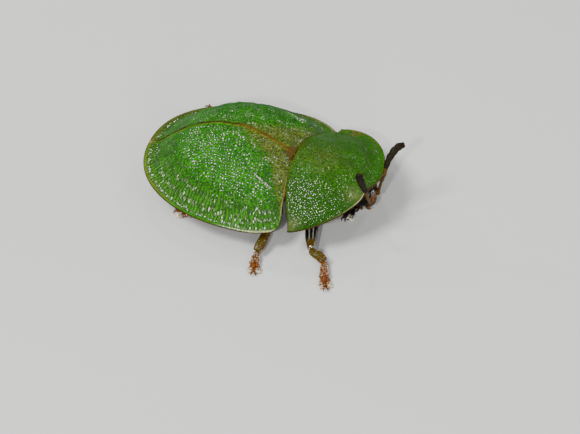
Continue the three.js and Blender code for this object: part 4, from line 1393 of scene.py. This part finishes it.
def tuft(path, radii, number, *, count, seeds, along, long, width, lean, around=(0, 2 * math.pi), cap=0.5):
    """Vertices, faces and map places of count bristles set at random on a limb.

    along and around are the ranges of their roots, long that of their lengths."""
    rng = np.random.default_rng(seeds[0] + number)
    t = rng.uniform(*along, count)
    turn = rng.uniform(*around, count)
    point, outward, ahead = limb_surface(path, radii, t, turn, cap=cap)
    place = np.stack([turn / (2 * math.pi) % 1, t], -1)
    rng = np.random.default_rng(seeds[1] + number)
    way = outward + ahead * lean + rng.normal(size=(count, 3)) * BRISTLE_SCATTER
    way /= np.linalg.norm(way, axis=1, keepdims=True)
    span = rng.uniform(*long, count)[:, None]
    side = np.cross(way, ahead + 0.01)
    side /= np.linalg.norm(side, axis=1, keepdims=True)
    other = np.cross(way, side)
    bend = ahead * 0.25 - outward * 0.1
    rings = []
    for share, thick in ((-0.08, 1.0), (0.5, 0.75)):
        centre = point + way * span * share + bend * span * max(share, 0) ** 2
        for k in range(3):
            angle = 2 * math.pi * k / 3
            rings.append(centre + (side * math.cos(angle) + other * math.sin(angle)) * width * thick)
    tip = point + way * span + bend * span
    vertices = np.stack([*rings, tip], 1).reshape(-1, 3)
    base = np.arange(count)[:, None] * 7
    quads = np.concatenate([base + [k, (k + 1) % 3, 3 + (k + 1) % 3, 3 + k] for k in range(3)])
    tips = np.concatenate([base + [3 + k, 3 + (k + 1) % 3, 6] for k in range(3)] + [base + [2, 1, 0]])
    uv = place[:, None] * 0.98 + 0.01 + np.array(PATCH_CORNERS) * HAIR_PATCH / 2
    return vertices, [quads, tips], uv.reshape(-1, 2)


def hair_piece(name, batches, finish, slot):
    """One coat piece from several batches of bristles, each batch in its own column of the map."""
    vertices, faces = joined([(points, blocks) for points, blocks, _ in batches])
    places = [(uv + [column, 0]) / [len(batches), 1] for column, (_, _, uv) in enumerate(batches)]
    piece = new_piece(name, vertices, faces, finish, None, slot)
    layer = piece.data.uv_layers.new(name="OFBake")
    corner = np.zeros(len(piece.data.loops), dtype=np.int32)
    piece.data.loops.foreach_get("vertex_index", corner)
    layer.data.foreach_set("uv", np.concatenate(places)[corner].astype(np.float32).ravel())


class BEETLE_OT_hairs(bpy.types.Operator):
    """Sets the bristles of the feet, shins and feelers"""
    bl_idname = "beetle.hairs"
    bl_label = "Hairs"

    def execute(self, context):
        tones = context.scene.beetle_colours
        pale = plain_finish("bristle_pale", tones.bristle, tones.bristle, 0.4, 0.3)
        dark = plain_finish("bristle_dark", tones.club_tip, tones.brown, 0.5, 0.3)
        for number, (name, leg) in enumerate(LEGS.items()):
            batches = [tuft(path, radii, number, **JOINT_COAT) for path, radii in foot_joints(leg)]
            for path in sole_lobes(leg):
                batches += [tuft(path, LOBE_RADII, number, **coat) for coat in (LOBE_COAT, TOE_COAT)]
            batches.append(tuft(leg["tibia"], SHIN_RADII, number, **SHIN_COAT))
            hair_piece(f"{name}_bristles", batches, pale, "tarsus")
        for number, (name, path) in enumerate(FEELERS.items()):
            batches = []
            for part, radii in feeler_parts(path, (*FEELER_SCAPE, *FEELER_STEM, *FEELER_CLUB)):
                count = 150 if radii[2][0] > CLUB_RADIUS else 30
                batches.append(tuft(part, radii, number, count=count, cap=FEELER_CAP, **FEELER_COAT))
            hair_piece(f"feeler_{name}_bristles", batches, dark, "antenna_club")
        return {"FINISHED"}


# The stage.

class BEETLE_OT_stage(bpy.types.Operator):
    """Lays the pale floor, hangs the lights and sets up the camera"""
    bl_idname = "beetle.stage"
    bl_label = "Stage"

    def execute(self, context):
        scene = context.scene
        settings = scene.beetle_stage
        mesh = bpy.data.meshes.new("floor")
        corners = [(x * FLOOR_REACH, y * FLOOR_REACH, 0) for x, y in ((-1, -1), (1, -1), (1, 1), (-1, 1))]
        mesh.from_pydata(corners, [], [(0, 1, 2, 3)])
        f = Finish("floor_paint")
        tone = f.mix(f.noise(9.0, 3), settings.floor, scaled(settings.floor, 0.96))
        mesh.materials.append(f.finish(tone, 0.9, Specular_IOR_Level=0.2))
        floor = bpy.data.objects.new("floor", mesh)
        scene.collection.objects.link(floor)
        world = bpy.data.worlds.new("studio")
        world.use_nodes = True
        background = world.node_tree.nodes["Background"]
        background.inputs[0].default_value = SKY_TINT
        background.inputs[1].default_value = settings.sky
        scene.world = world
        target = Vector((SHIFT * MM).tolist())
        for name, place, power, share, width in LIGHTS:
            light = bpy.data.lights.new(name, "AREA")
            light.energy = getattr(settings, power) * share
            light.size = width
            lamp = bpy.data.objects.new(name, light)
            lamp.location = target + Vector(place)
            lamp.rotation_euler = (-Vector(place)).to_track_quat("-Z", "Y").to_euler()
            scene.collection.objects.link(lamp)
        photo_camera(context)
        return {"FINISHED"}


# The photograph's camera: its azimuth, elevation and roll, its distance in millimetres, and the pixel of
# the picture where the beetle's own zero lies.
VIEW_AZIMUTH = math.radians(24.09)
VIEW_ELEVATION = math.radians(43.99)
VIEW_ROLL = math.radians(-4.75)
VIEW_DISTANCE = 150.0
PIXELS_PER_MM = 34.21
PICTURE_SIZE = (580, 434)
BEETLE_PIXEL = (261.13, 169.92)
SENSOR_WIDTH = 36.0


def photo_camera(context):
    back = Vector((
        math.sin(VIEW_AZIMUTH) * math.cos(VIEW_ELEVATION),
        -math.cos(VIEW_AZIMUTH) * math.cos(VIEW_ELEVATION),
        math.sin(VIEW_ELEVATION),
    ))
    level = Vector((math.cos(VIEW_AZIMUTH), math.sin(VIEW_AZIMUTH), 0))
    upright = back.cross(level)
    right = math.cos(VIEW_ROLL) * level + math.sin(VIEW_ROLL) * upright
    up = -math.sin(VIEW_ROLL) * level + math.cos(VIEW_ROLL) * upright
    aside = (PICTURE_SIZE[0] / 2 - BEETLE_PIXEL[0]) / PIXELS_PER_MM
    below = (PICTURE_SIZE[1] / 2 - BEETLE_PIXEL[1]) / PIXELS_PER_MM
    place = Vector(SHIFT.tolist()) + back * VIEW_DISTANCE + right * aside - up * below
    data = bpy.data.cameras.new("photo_camera")
    data.sensor_width = SENSOR_WIDTH
    data.lens = PIXELS_PER_MM * VIEW_DISTANCE * SENSOR_WIDTH / PICTURE_SIZE[0]
    data.clip_start = 0.005
    data.clip_end = 5
    camera = bpy.data.objects.new("photo_camera", data)
    camera.matrix_world = Matrix((
        (right.x, up.x, back.x, place.x * MM),
        (right.y, up.y, back.y, place.y * MM),
        (right.z, up.z, back.z, place.z * MM),
        (0, 0, 0, 1),
    ))
    context.scene.collection.objects.link(camera)
    context.scene.camera = camera


class BEETLE_PT_panel(bpy.types.Panel):
    """Lists the beetle's pieces"""
    bl_label = "Tortoise Beetle"
    bl_idname = "BEETLE_PT_panel"
    bl_space_type = "VIEW_3D"
    bl_region_type = "UI"
    bl_category = "Beetle"

    def draw(self, context):
        column = self.layout.column()
        for operator in PIECE_OPERATORS:
            column.operator(operator.bl_idname)


PIECE_OPERATORS = (
    BEETLE_OT_wing_cases,
    BEETLE_OT_scutellum,
    BEETLE_OT_pronotum,
    BEETLE_OT_trunk,
    BEETLE_OT_head,
    BEETLE_OT_feelers,
    BEETLE_OT_legs,
    BEETLE_OT_hairs,
    BEETLE_OT_stage,
)
SETTINGS = {
    "beetle_shell": BeetleShellSettings,
    "beetle_colours": BeetleColourSettings,
    "beetle_stage": BeetleStageSettings,
}


def register():
    for item in (*SETTINGS.values(), *PIECE_OPERATORS, BEETLE_PT_panel):
        bpy.utils.register_class(item)
    for name, group in SETTINGS.items():
        setattr(bpy.types.Scene, name, PointerProperty(type=group))


def unregister():
    for name in SETTINGS:
        delattr(bpy.types.Scene, name)
    for item in (BEETLE_PT_panel, *reversed(PIECE_OPERATORS), *reversed(tuple(SETTINGS.values()))):
        bpy.utils.unregister_class(item)


def main():
    register()
    for operator in PIECE_OPERATORS:
        group, name = operator.bl_idname.split(".")
        getattr(getattr(bpy.ops, group), name)()


if __name__ == "__main__":
    main()
